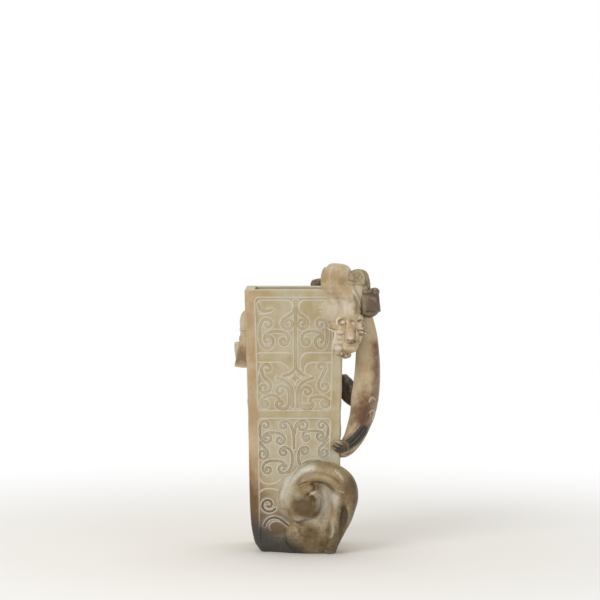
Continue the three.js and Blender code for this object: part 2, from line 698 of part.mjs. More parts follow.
// Coiled tail: it climbs the right side, swells round the corner, arches over the front and curls
// inside as a comma-shaped lobe. Places and half widths are shares of the coil's radius, from its
// middle on the front face: right, back and up, then front to back and across the band.
function footCoil() {
  const place = (x, y, z) => [
    coilMiddleX + x * coilRadius, -waistReach + y * coilRadius, coilHeight + z * coilRadius,
  ];
  const row = (x, y, z, wide, deep) => ({
    at: place(x, y, z), wide: wide * coilRadius, deep: deep * coilRadius,
  });
  const lump = (centre, radii, columns = 8, rows = 6) => (
    blob(vector(...place(...centre)), vector(...radii).multiplyScalar(coilRadius), columns, rows)
  );
  const across = vector(0, 1, 0);
  const band = sweep([
    row(0.23, 0.21, -1.16, 0.25, 0.21), row(0.36, 0.18, -0.95, 0.3, 0.2),
    row(0.51, 0.14, -0.66, 0.34, 0.18),
    row(0.65, 0.11, -0.38, 0.36, 0.17), row(0.71, 0.07, -0.12, 0.39, 0.2),
    row(0.71, 0.04, 0.16, 0.44, 0.24),
    row(0.63, -0.02, 0.43, 0.455, 0.28), row(0.47, -0.07, 0.63, 0.43, 0.28),
    row(0.25, -0.12, 0.77, 0.38, 0.26),
    row(-0.02, -0.14, 0.82, 0.34, 0.24), row(-0.27, -0.14, 0.77, 0.3, 0.23),
    row(-0.46, -0.14, 0.62, 0.27, 0.21),
    row(-0.61, -0.14, 0.4, 0.25, 0.2), row(-0.69, -0.14, 0.14, 0.25, 0.21),
    row(-0.62, -0.14, -0.07, 0.27, 0.23),
    row(-0.5, -0.14, -0.2, 0.27, 0.23),
  ], { across, steps: 22, sides: 10, squareness: 2.5 });
  const side = sweep([
    row(0.45, 0.29, 0.62, 0.25, 0.25), row(0.61, 0.39, 0.34, 0.29, 0.27),
    row(0.64, 0.46, -0.05, 0.27, 0.23),
    row(0.53, 0.46, -0.48, 0.25, 0.2), row(0.36, 0.43, -0.98, 0.21, 0.16),
  ], { across, steps: 5, sides: 8, squareness: 2.4 });
  const inner = sweep([
    row(0.2, 0.07, -1.09, 0.25, 0.18), row(0.32, -0.04, -0.77, 0.27, 0.14),
    row(0.38, -0.12, -0.45, 0.26, 0.14),
    row(0.41, -0.18, -0.12, 0.25, 0.16), row(0.5, -0.18, 0.16, 0.25, 0.2),
  ], { across, steps: 4, sides: 8, squareness: 2.2 });
  const commaTip = sweep([
    row(-0.27, -0.25, -0.12, 0.18, 0.18), row(-0.11, -0.29, 0, 0.17, 0.16),
    row(-0.05, -0.32, 0.16, 0.14, 0.12),
    row(-0.12, -0.34, 0.29, 0.11, 0.08), row(-0.21, -0.34, 0.31, 0.07, 0.05),
  ], { across, steps: 6, sides: 8 });
  const foot = sweep([
    row(-0.16, 0.34, -1.24, 0.54, 0.31), row(-0.16, 0.3, -1.09, 0.54, 0.38),
    row(-0.12, 0.25, -0.88, 0.48, 0.44),
    row(-0.11, 0.2, -0.62, 0.45, 0.46), row(-0.09, 0.14, -0.3, 0.43, 0.43),
  ], { across: vector(1, 0, 0), steps: 5, sides: 12, squareness: 2.6, roundEnds: [false, true] });
  const comma = lump([-0.39, -0.14, -0.02], [0.375, 0.33, 0.33], 14, 9);
  const notch = lump([-0.33, -0.2, 0.41], [0.19, 0.2, 0.16]);
  const ground = lump([0.05, -0.04, 0.02], [0.54, 0.3, 0.75], 12, 8);
  const heel = lump([-0.27, -0.14, -0.64], [0.27, 0.2, 0.18]);
  return join(band, side, inner, foot, comma, commaTip, notch, ground, heel);
}

// Small dragon on the left side: a curled ribbon that flares to a square foot.
function leftDragon(grow = 0) {
  const row = (share, reach, depth, shift = 0) => {
    const height = leftDragonFoot + share * leftDragonHeight;
    return {
      height, x: -faceReach(height) + 1,
      y: -rimReach + leftDragonSetback + shift * leftDragonHalfDepth,
      wide: reach * leftDragonReach, front: depth * leftDragonHalfDepth, back: depth * leftDragonHalfDepth,
    };
  };
  return levelLoft([
    row(0, 0.9, 0.95), row(0.03, 1, 1), row(0.12, 0.92, 0.95), row(0.24, 0.78, 0.85),
    row(0.38, 0.66, 0.75, 0.1), row(0.5, 0.55, 0.65, 0.2), row(0.62, 0.52, 0.65, 0.15),
    row(0.72, 0.6, 0.7),
    row(0.83, 0.6, 0.7, -0.1), row(0.93, 0.5, 0.6, -0.15), row(1, 0.25, 0.3, -0.15),
  ], { squareness: 2.6, sides: 12, grow });
}

function leftDragonFin() {
  const row = (share, reach, depth) => {
    const height = leftDragonFoot + share * leftDragonHeight;
    return {
      height, x: -faceReach(height) + 1, y: -rimReach + leftDragonSetback + finSetback,
      wide: reach * leftDragonReach, front: depth * finHalfDepth, back: depth * finHalfDepth,
    };
  };
  return levelLoft([
    row(0.03, 0.79, 0.33), row(0.13, 0.95, 0.78), row(0.28, 1.08, 1), row(0.41, 1.1, 1),
    row(0.435, 0.84, 0.78),
  ], { squareness: 2.6, sides: 10 });
}

// Rear dragon: from its crest on the back rim down the back face in a slow bend. Insets from the
// corner are shares of the body's radius, and drops are shares of the way from the rim to the limb.
function rearBody(grow = 0) {
  const size = (share) => ({ wide: share * rearBodyRadius, deep: share * rearBodyRadius });
  const at = (inset, wall, out, height) => [
    rimReach - inset * rearBodyRadius, wall + out * rearBodyRadius, height,
  ];
  const crest = (inset, out, share) => {
    const height = vaseHeight + rearCrestRise - share * rearBodyRadius;
    return { at: at(inset, rimReach, out, height), ...size(share) };
  };
  const row = (inset, out, drop, share) => {
    const height = vaseHeight - drop * rearSpan;
    return { at: at(inset, faceReach(height), out, height), ...size(share) };
  };
  return sweep([
    crest(3.42, 0.25, 0.6), crest(2.42, 0.42, 0.75),
    row(1.42, 0.5, 0.08, 0.9), row(1.67, 0.42, 0.28, 1), row(2.58, 0.33, rearBend, 1),
    row(2.92, 0.33, 0.64, 0.95), row(2.25, 0.33, 0.81, 0.9), row(1.42, 0.33, 0.97, 0.85),
    row(0.92, 0.17, 1.1, 0.7),
  ], { across: vector(1, 0, 0), steps: 18, sides: 10, grow });
}

// Its limb reaches round the rear right corner. Places are shares of the limb's radius.
function rearLimb() {
  const row = (out, back, up, wide, deep) => ({
    at: [
      faceReach(rearLimbHeight) + out * rearLimbRadius,
      rimReach - rearLimbSetback + back * rearLimbRadius,
      rearLimbHeight + up * rearLimbRadius,
    ],
    wide: wide * rearLimbRadius, deep: deep * rearLimbRadius,
  });
  return sweep([
    row(-0.29, 0.43, 0.21, 0.86, 1), row(0.36, 0.14, 0.14, 0.86, 1), row(1.07, 0, -0.93, 0.79, 0.95),
    row(1.79, -0.07, -1.79, 0.57, 0.6),
  ], { across: vector(0, 1, 0), steps: 9, sides: 10 });
}

// Everything below the ground plane, to cut the coil flat where it rests.
function underground() {
  const slabDepth = 100;
  const box = new THREE.BoxGeometry(6 * waistReach, 6 * waistReach, slabDepth);
  box.translate(0, 0, -slabDepth / 2);
  return toSolid(box);
}

// Assembly: each carving is cut to sit on what carries it, then drilled for its dowels.
const faceWall = carve(faceSlab());
const sideWall = carve(sideSlab());
const turned = (solid, degrees) => solid.rotate([0, 0, degrees]);
const head = cut(dragonHead(), bodyBlock);
const body = cut(dragonBody(), bodyBlock, headForm(seatGap));
const tuftSolid = cut(tuft(), bodyBlock, dragonBody(seatGap));
const crest = cut(crestBlock(), dragonBody(seatGap), tuftDisc(seatGap), bodyBlock);
const handleNeighbours = [crestBlock(seatGap), dragonBody(seatGap), headForm(seatGap)];
const handle = cut(maneHandle(), bodyBlock, ...handleNeighbours);
const paw = cut(gripPaw(), bodyBlock, maneHandle(seatGap));
const coil = cut(footCoil(), bodyBlock, underground());
const leftDragonSolid = cut(leftDragon(), bodyBlock);
const leftFin = cut(leftDragonFin(), bodyBlock, leftDragon(seatGap));
const rear = cut(rearBody(), bodyBlock);
const limb = cut(rearLimb(), bodyBlock, rearBody(seatGap));

const group = new THREE.Group();

function place(name, solid, material, ...socketNames) {
  const drilled = cut(solid, ...socketsFor(...socketNames)).asOriginal().simplify(facetMerge);
  const mesh = new THREE.Mesh(toGeometry(drilled), material);
  mesh.name = name;
  group.add(mesh);
}

place('front_wall', faceWall, slabStone, 'coil_upper_dowel', 'coil_lower_dowel');
place('back_wall', turned(faceWall, 180), slabStone, 'rear_body_dowel');
place('left_wall', turned(sideWall, -90), edgeStone, 'left_dragon_dowel');
place(
  'right_wall', turned(sideWall, 90), edgeStone,
  'haunch_dowel', 'head_dowel', 'handle_foot_dowel', 'rear_limb_dowel',
);
place('foot_block', footBlock(), darkStone);
place('dragon_body', body, paleStone, 'haunch_dowel', 'tuft_dowel', 'crest_dowel');
place('dragon_head', head, paleStone, 'head_dowel');
place('dragon_tuft', tuftSolid, paleStone, 'tuft_dowel');
place('dragon_crest', crest, darkStone, 'crest_dowel', 'handle_top_dowel');
place('mane_handle', handle, paleStone, 'handle_top_dowel', 'handle_foot_dowel');
place('grip_paw', paw, darkStone);
place('foot_coil', coil, coilStone, 'coil_upper_dowel', 'coil_lower_dowel');
place('left_dragon', leftDragonSolid, paleStone, 'left_dragon_dowel');
place('left_fin', leftFin, paleStone);
place('rear_dragon_body', rear, darkStone, 'rear_body_dowel');
place('rear_dragon_limb', limb, darkStone, 'rear_limb_dowel');
for (const [name, [meeting, direction]] of Object.entries(joints)) {
  const mesh = new THREE.Mesh(dowel(meeting, direction), dowelStone);
  mesh.name = name;
  group.add(mesh);
}

export default group;
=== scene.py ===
# Carved stone vase with climbing dragons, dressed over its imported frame.
# Shapes are worked out in millimetres and put into meshes in metres.
# X points right, Y to the back, Z up, and the large dragon is on the front right corner.

import math

import bmesh
import bpy
import numpy as np
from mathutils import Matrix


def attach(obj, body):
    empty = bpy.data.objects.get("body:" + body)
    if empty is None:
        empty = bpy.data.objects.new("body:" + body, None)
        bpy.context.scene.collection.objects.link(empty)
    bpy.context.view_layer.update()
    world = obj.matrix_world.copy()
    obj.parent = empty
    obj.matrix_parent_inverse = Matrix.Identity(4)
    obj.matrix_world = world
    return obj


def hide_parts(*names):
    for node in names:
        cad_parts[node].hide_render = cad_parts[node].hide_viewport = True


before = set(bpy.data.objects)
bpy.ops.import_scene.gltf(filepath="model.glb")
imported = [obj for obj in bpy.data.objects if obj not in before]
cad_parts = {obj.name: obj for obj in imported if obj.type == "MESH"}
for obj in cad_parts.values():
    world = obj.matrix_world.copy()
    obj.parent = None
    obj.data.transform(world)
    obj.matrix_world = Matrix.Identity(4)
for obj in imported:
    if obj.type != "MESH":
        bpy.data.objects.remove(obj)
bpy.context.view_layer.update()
millimetre = 0.001
fineness = 1.0

# Body of the vase: four slabs on a foot block
vase = {
    "height": 365,
    "waistReach": 62,      # middle line to the outer face, low on the body
    "rimFlare": 7,         # how much further out the faces stand at the rim
    "footDrawIn": 15.5,    # how far the worn foot draws in at the ground
    "footFade": 21,        # height over which that rounding fades
    "wall": 14,
    "footHeight": 20,
    "edgeRound": 3.2,      # rubbed upright corners
    "rimRound": 2.0,       # rubbed edge of the mouth
    "footEdge": 1.5,       # chipped edge at the very ground, and the height over which it fades
    "footEdgeFade": 0.8,
    "footCorner": 6,       # extra rounding of the corners at the ground, and its fading height
    "footCornerFade": 9,
    "footPlain": (2, 9),   # heights over which the carving starts above the ground
    "edgeWaves": (13, 31),  # lengths and share of the width of the wear along the upright corners
    "edgeWear": 1 / 90,
    "seam": 0.04,          # hairline joint between slabs, filled with pale cement
    "sideInset": 0.15,     # the side slabs' outer faces lie back by this
    "gridStep": 0.68,      # spacing of the carved grid
    "sideStep": 0.986,     # the same across the side slabs
    "footStep": 1.0,       # and across the foot
    "stripPoints": 18,     # points across an edge strip
    "handWave": 0.3,       # hand-rubbed unevenness of the faces
    "waveSize": 30,
}


def faceReach(height):
    # Middle line to the outer face: a slow flare to the rim, less a quick draw-in at the worn foot.
    share = height / vase["height"]
    drawn = vase["footDrawIn"] * np.exp(-height / vase["footFade"])
    return vase["waistReach"] + vase["rimFlare"] * share ** 2 - drawn


def cavityReach(height):
    # Middle line to the inner face and to the upright seams.
    share = height / vase["height"]
    return vase["waistReach"] + vase["rimFlare"] * share ** 2 - vase["wall"]


# Curves and surfaces

def smoothCourse(points, count):
    # Catmull-Rom course through the points: at each share t of a span, the cubic through the span's
    # two points whose slope at each is half the step between that point's neighbours.
    points = np.asarray(points, float)
    ends = np.vstack([2 * points[0] - points[1], points, 2 * points[-1] - points[-2]])
    places = np.linspace(0, len(points) - 1, count)
    span = np.minimum(places.astype(int), len(points) - 2)
    t = (places - span)[:, None]
    before, start, end, after = (ends[span + shift] for shift in range(4))
    slopeIn = (end - before) / 2
    slopeOut = (after - start) / 2
    gap = end - start
    return start + slopeIn * t + (3 * gap - 2 * slopeIn - slopeOut) * t ** 2 \
        + (slopeIn + slopeOut - 2 * gap) * t ** 3


def smoothStep(values, low, high):
    share = np.clip((values - low) / (high - low), 0, 1)
    return share * share * (3 - 2 * share)


def powered(values, squareness):
    return np.sign(values) * np.abs(values) ** (2 / squareness)


def closedGrid(rings):
    # Skin over a stack of rings, closed by one point in the middle of each end ring.
    rows, columns = rings.shape[:2]
    points = rings.reshape(-1, 3)
    points = np.vstack([points, rings[0].mean(0), rings[-1].mean(0)])
    row, column = np.meshgrid(np.arange(rows - 1), np.arange(columns), indexing="ij")
    following = (column + 1) % columns
    here = (row * columns + column).ravel()
    side = (row * columns + following).ravel()
    quads = np.stack([here, side, side + columns, here + columns], 1)
    rim = np.arange(columns)
    turn = (rim + 1) % columns
    last = (rows - 1) * columns
    low = np.stack([np.full(columns, rows * columns), turn, rim], 1)
    high = np.stack([np.full(columns, rows * columns + 1), rim + last, turn + last], 1)
    return points, [quads, np.vstack([low, high])]


def carried(stations, across, steps=48, sides=40, squareness=2.0, domes=(0.8, 0.8)):
    # Superellipse carried along a smooth course. A station is x, y, z, the half width along `across`
    # and the half depth square to it. Round ends shrink the section as the sine of a quarter turn
    # while it moves on by the cosine, times the end's share in `domes`.
    course = smoothCourse(stations, steps)
    places = course[:, :3]
    sizes = np.maximum(course[:, 3:5], 0.05)
    along = np.gradient(places, axis=0)
    along /= np.linalg.norm(along, axis=1, keepdims=True)
    across = np.asarray(across, float)
    side = across - (along @ across)[:, None] * along
    side /= np.linalg.norm(side, axis=1, keepdims=True)
    out = np.cross(along, side)
    turns = np.linspace(0.12, 1, 7)[:-1] * math.pi / 2
    push = np.zeros(steps)
    shrink = np.ones(steps)
    order = np.arange(steps)
    if domes[0]:
        order = np.concatenate([np.zeros(len(turns), int), order])
        push = np.concatenate([-domes[0] * np.cos(turns), push])
        shrink = np.concatenate([np.sin(turns), shrink])
    if domes[1]:
        order = np.concatenate([order, np.full(len(turns), steps - 1)])
        push = np.concatenate([push, domes[1] * np.cos(turns[::-1])])
        shrink = np.concatenate([shrink, np.sin(turns[::-1])])
    push = push * sizes[order].min(1)
    angle = 2 * math.pi * np.arange(sides) / sides
    scaled = sizes[order] * shrink[:, None]
    wide = scaled[:, :1] * powered(np.cos(angle), squareness)
    deep = scaled[:, 1:] * powered(np.sin(angle), squareness)
    centre = places[order] + along[order] * push[:, None]
    rings = centre[:, None] + side[order][:, None] * wide[..., None] + out[order][:, None] * deep[..., None]
    return closedGrid(rings)


def tube(points, radius, steps=40, sides=14, taper=(1, 1), flat=1.0):
    # Rounded bead along a smooth course: its radius starts and ends at the two taper shares and is
    # full in the middle; `flat` is its width over its depth.
    points = np.asarray(points, float)
    share = np.linspace(0, 1, len(points))
    rising = taper[0] + (1 - taper[0]) * share * 2.6
    falling = taper[1] + (1 - taper[1]) * (1 - share) * 2.6
    size = radius * np.minimum(1, np.where(share < 0.5, rising, falling))
    stations = np.column_stack([points, size * flat, size])
    return carried(stations, (0, 1, 0), steps, sides)


def dome(centre, radii, sides=36, rows=22, tilt=0.0):
    # Ellipsoid: latitude and longitude give the point, tilted about Y by `tilt` degrees.
    latitude = np.linspace(-0.48, 0.48, rows) * math.pi
    angle = 2 * math.pi * np.arange(sides) / sides
    level = np.cos(latitude)[:, None]
    sphere = np.broadcast_arrays(level * np.cos(angle), level * np.sin(angle), np.sin(latitude)[:, None])
    ring = np.stack(sphere, 2) * np.asarray(radii, float)
    lean = math.radians(tilt)
    turned = ring.copy()
    turned[..., 0] = ring[..., 0] * math.cos(lean) + ring[..., 2] * math.sin(lean)
    turned[..., 2] = -ring[..., 0] * math.sin(lean) + ring[..., 2] * math.cos(lean)
    return closedGrid(turned + np.asarray(centre, float))


def spiralPoints(centre, start, turns, count=26, shrink=0.22):
    # Spiral from the start point into the centre: the angle grows evenly while the radius falls
    # to the share `shrink`. Positive turns run anticlockwise on the face.
    centre = np.asarray(centre, float)
    offset = np.asarray(start, float) - centre
    share = np.linspace(0, 1, count)
    angle = math.atan2(offset[1], offset[0]) + 2 * math.pi * turns * share
    radius = np.hypot(*offset) * (1 - (1 - shrink) * share)
    return centre + radius[:, None] * np.column_stack([np.cos(angle), np.sin(angle)])


# Meshes

def meshFrom(name, points, faceSets):
    # One mesh from millimetre points and blocks of faces with the same number of corners.
    faceSets = [np.asarray(block) for block in faceSets if len(block)]
    corners = np.concatenate([block.ravel() for block in faceSets])
    counts = np.concatenate([np.full(len(block), block.shape[1]) for block in faceSets])
    starts = np.concatenate([[0], np.cumsum(counts)[:-1]])
    mesh = bpy.data.meshes.new(name)
    mesh.vertices.add(len(points))
    mesh.vertices.foreach_set("co", (np.asarray(points) * millimetre).astype(np.float32).ravel())
    mesh.loops.add(len(corners))
    mesh.loops.foreach_set("vertex_index", corners.astype(np.int32))
    mesh.polygons.add(len(counts))
    mesh.polygons.foreach_set("loop_start", starts.astype(np.int32))
    mesh.update(calc_edges=True)
    mesh.validate()
    return mesh


def outward(mesh):
    # Turns the faces of a closed mesh so that all of them point out.
    work = bmesh.new()
    work.from_mesh(mesh)
    bmesh.ops.recalc_face_normals(work, faces=work.faces)
    work.to_mesh(mesh)
    work.free()


def addObject(name, mesh):
    piece = bpy.data.objects.new(name, mesh)
    bpy.context.scene.collection.objects.link(piece)
    return piece


def fuse(name, forms, voxel, softness):
    # Overlapping closed forms grown into one skin on a cubic lattice, then relaxed so that the
    # creases between them become the soft hollows of rubbed stone.
    points = []
    faceSets = []
    start = 0
    for formPoints, formFaces in forms:
        points.append(formPoints)
        faceSets += [block + start for block in formFaces]
        start += len(formPoints)
    triangles = [block for block in faceSets if block.shape[1] == 3]
    quads = [block for block in faceSets if block.shape[1] == 4]
    mesh = meshFrom(name, np.vstack(points), [np.vstack(quads), np.vstack(triangles)])
    outward(mesh)
    piece = addObject(name, mesh)
    remesh = piece.modifiers.new("lattice", "REMESH")
    remesh.mode = "VOXEL"
    remesh.voxel_size = voxel * millimetre / fineness
    graph = bpy.context.evaluated_depsgraph_get()
    skin = bpy.data.meshes.new_from_object(piece.evaluated_get(graph))
    piece.modifiers.clear()
    piece.data = skin
    skin.name = name
    bpy.data.meshes.remove(mesh)
    places = meshPoints(skin)
    places = relaxed(places, meshEdges(skin), max(2, round(softness * fineness)), 0.5)
    setPoints(skin, places)
    return piece


def meshPoints(mesh):
    flat = np.empty(len(mesh.vertices) * 3, np.float32)
    mesh.vertices.foreach_get("co", flat)
    return flat.reshape(-1, 3).astype(float) / millimetre


def meshNormals(mesh):
    flat = np.empty(len(mesh.vertices) * 3, np.float32)
    mesh.vertex_normals.foreach_get("vector", flat)
    return flat.reshape(-1, 3).astype(float)


def meshEdges(mesh):
    flat = np.empty(len(mesh.edges) * 2, np.int32)
    mesh.edges.foreach_get("vertices", flat)
    return flat.reshape(-1, 2)


def setPoints(mesh, places):
    mesh.vertices.foreach_set("co", (places * millimetre).astype(np.float32).ravel())
    mesh.update()


def relaxed(values, edges, rounds, share):
    # Each round moves a vertex's value towards the mean of its neighbours by the share.
    count = len(values)
    ends = np.concatenate([edges[:, 0], edges[:, 1]])
    others = np.concatenate([edges[:, 1], edges[:, 0]])
    valence = np.maximum(np.bincount(ends, minlength=count), 1)
    values = values.copy()
    columns = values.reshape(count, -1)
    for turn in range(rounds):
        for axis in range(columns.shape[1]):
            total = np.bincount(ends, weights=columns[others, axis], minlength=count)
            columns[:, axis] += share * (total / valence - columns[:, axis])
    return columns.reshape(values.shape)


def handWave(points, size, seed=0.0):
    # Slow unevenness left by hand rubbing: products of sine waves whose lengths share no multiple.
    x, y, z = points.T / size
    first = np.sin(1.7 * x + 0.9 * z + seed) * np.sin(1.3 * y + 1.1 * z + 2 * seed)
    second = np.sin(2.9 * z + 1.2 * x + 3 * seed) * np.sin(2.3 * x - 1.9 * y + 0.7)
    third = np.sin(4.3 * x - 3.7 * z + 1.9) * np.sin(3.9 * y + 4.1 * z + seed)
    return (first + 0.6 * second + 0.35 * third) / 1.95


def waved(piece, amount, size, seed=0.0):
    places = meshPoints(piece.data)
    places += meshNormals(piece.data) * (amount * handWave(places, size, seed))[:, None]
    setPoints(piece.data, places)


def gapTo(places, courses, reach=7.0):
    # Distance from each place to the closest of the courses, up to `reach`. Each course is cut into
    # short lengths, and a length is measured only against the places in the box around it.
    gap = np.full(len(places), reach)
    for course in courses:
        for start in range(0, len(course) - 1, 20):
            leg = course[start:start + 21]
            inside = ((places > leg.min(0) - reach) & (places < leg.max(0) + reach)).all(1)
            near = np.flatnonzero(inside)
            if not len(near):
                continue
            step = np.diff(leg, axis=0)
            offset = places[near, None] - leg[:-1]
            share = np.clip((offset * step).sum(2) / np.maximum((step ** 2).sum(1), 1e-9), 0, 1)
            away = np.hypot(*(offset - share[..., None] * step).transpose(2, 0, 1))
            gap[near] = np.minimum(gap[near], away.min(1))
    return gap


def hump(distance, width):
    return np.exp(-(distance / width) ** 2)


def seenGap(points, course, reach):
    # Distance to a course drawn on the front view, where a point counts by its across and height.
    return gapTo(points[:, [0, 2]], [smoothCourse(course, 8 * len(course))], reach)


def carve(piece, touches, least=0.1):
    # Tool marks on the surface that faces the front: each raises or sinks it by its rise times
    # exp(-(distance / width) squared), fading where the surface turns away.
    places = meshPoints(piece.data)
    facing = smoothStep(-meshNormals(piece.data)[:, 1], least, least + 0.45)
    change = np.zeros(len(places))
    for course, width, rise in touches:
        change += rise * hump(seenGap(places, course, 2.6 * width), width)
    places[:, 1] -= change * facing
    setPoints(piece.data, places)


def setAttribute(mesh, name, values):
    attribute = mesh.attributes.new(name, "FLOAT", "POINT")
    attribute.data.foreach_set("value", np.asarray(values, np.float32))


def spotted(points, spots):
    # Soft stains, and on some pieces painted light and shade: each spot adds its strength times
    # exp(-distance squared) in its own radii.
    total = np.zeros(len(points))
    for x, y, z, radiusX, radiusY, radiusZ, strength in spots:
        reach = (points - (x, y, z)) / (radiusX, radiusY, radiusZ)
        total += strength * np.exp(-(reach ** 2).sum(1))
    return np.clip(total, 0, 1)


def dots(places, width, rise):
    # Short marks at single places, for carve or for a piece's lines of stain.
    return [([(x, z), (x + 0.1, z)], width, rise) for x, z in places]


wear = {
    "fineReach": 2.0,      # millimetres over which a point is compared with its close surroundings
    "broadReach": 5.0,     # and with its wider ones
    "fineRise": 0.35,      # standing proud by this much counts as fully rubbed, in the close look
    "broadRise": 1.1,      # and in the wider one
}


def weatherAndPaintedLight(piece, stainsAndPaintedLight, carving=None):
    # Works out how each point wears: `ridge` where it stands proud of its close surroundings and
    # `hollow` where it lies below them. Brown, pale and soot come from the stains, among which some
    # pieces have painted highlights, painted light and painted shade: spots under the colour's own
    # name, and lines seen from the front under that name with Lines. On a wall the carving's height
    # and its chalkiness come as two lists, which say what stands proud and is pale.
    mesh = piece.data
    places = meshPoints(mesh)
    normals = meshNormals(mesh)
    edges = meshEdges(mesh)
    spacing = np.linalg.norm(places[edges[:, 0]] - places[edges[:, 1]], axis=1).mean()
    fineRounds = int(np.clip((wear["fineReach"] / spacing) ** 2, 2, 14))
    broadRounds = int(np.clip((wear["broadReach"] / spacing) ** 2, 8, 60))
    shape = places if carving is None else carving[0][:, None]
    near = relaxed(shape, edges, fineRounds, 0.5)
    far = relaxed(near, edges, broadRounds, 0.5)
    out = normals if carving is None else 1
    fine = ((shape - near) * out).sum(1) / wear["fineRise"]
    broad = ((near - far) * out).sum(1) / wear["broadRise"]
    rise = relaxed(0.6 * fine + 0.5 * broad, edges, 1, 0.5)
    setAttribute(mesh, "ridge", np.clip(rise, 0, 1))
    setAttribute(mesh, "hollow", np.clip(-rise, 0, 1))
    front = smoothStep(-normals[:, 1], -0.2, 0.3)
    for colour in ("brown", "pale", "soot"):
        stain = spotted(places, stainsAndPaintedLight.get(colour, ()))
        for course, width, strength in stainsAndPaintedLight.get(colour + "Lines", ()):
            line = strength * front * hump(seenGap(places, course, 2.4 * width), width)
            stain = np.maximum(stain, line)
        if carving is not None and colour == "pale":
            stain = np.maximum(stain, carving[1])
        setAttribute(mesh, colour, stain)



def finish(piece, node, material):
    mesh = piece.data
    mesh.materials.clear()
    mesh.materials.append(material)
    mesh.shade_smooth()
    mesh.set_sharp_from_angle(angle=math.radians(50))
    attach(piece, "root")
    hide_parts(node)
    print(f"{piece.name}: {len(mesh.vertices)} points stand for {node}")


def dress(piece, work):
    # Finishes a carving as its dictionary says: hand-rubbed unevenness, tool marks, a flat where it
    # rests, and wear with its stains and painted light, then its node and stone.
    if "wave" in work:
        waved(piece, *work["wave"])
    if "touches" in work:
        carve(piece, work["touches"], work.get("least", 0.1))
    if "restHeight" in work:
        places = meshPoints(piece.data)
        places[:, 2] = np.maximum(places[:, 2], work["restHeight"])
        setPoints(piece.data, places)
    weatherAndPaintedLight(piece, work)
    finish(piece, work["node"], materials[work["stone"]])


def makeCarving(name, forms, work):
    dress(fuse(name, forms, work["lattice"], work["softness"]), work)


# Materials

def linear(hexColour):
    # sRGB hex to the linear colour that a shader works in.
    parts = np.array([int(hexColour[place:place + 2], 16) for place in (0, 2, 4)]) / 255
    low = parts / 12.92
    high = ((parts + 0.055) / 1.055) ** 2.4
    return (*np.where(parts <= 0.04045, low, high), 1.0)


def addNode(tree, kind, values=None, links=None, **settings):
    # Adds a node, sets its properties and its sockets' values, and links other nodes' outputs to it.
    node = tree.nodes.new(kind)
    for name, value in settings.items():
        setattr(node, name, value)
    for socket, value in (values or {}).items():
        node.inputs[socket].default_value = value
    for socket, source in (links or {}).items():
        tree.links.new(source, node.inputs[socket])
    return node


# Noise in the stone: size of its lumps in millimetres, detail, and how far each axis draws it out
stoneNoises = {
    "clouds": (34, 4.0, (1, 1, 1)),
    "mottle": (9, 4.0, (1, 1, 1)),
    "strokes": (4.5, 3.0, (0.5, 0.5, 3.5)),   # upright rubbing strokes
    "grit": (1.3, 2.0, (1, 1, 1)),            # coarser than the real grain, so that it shows
}


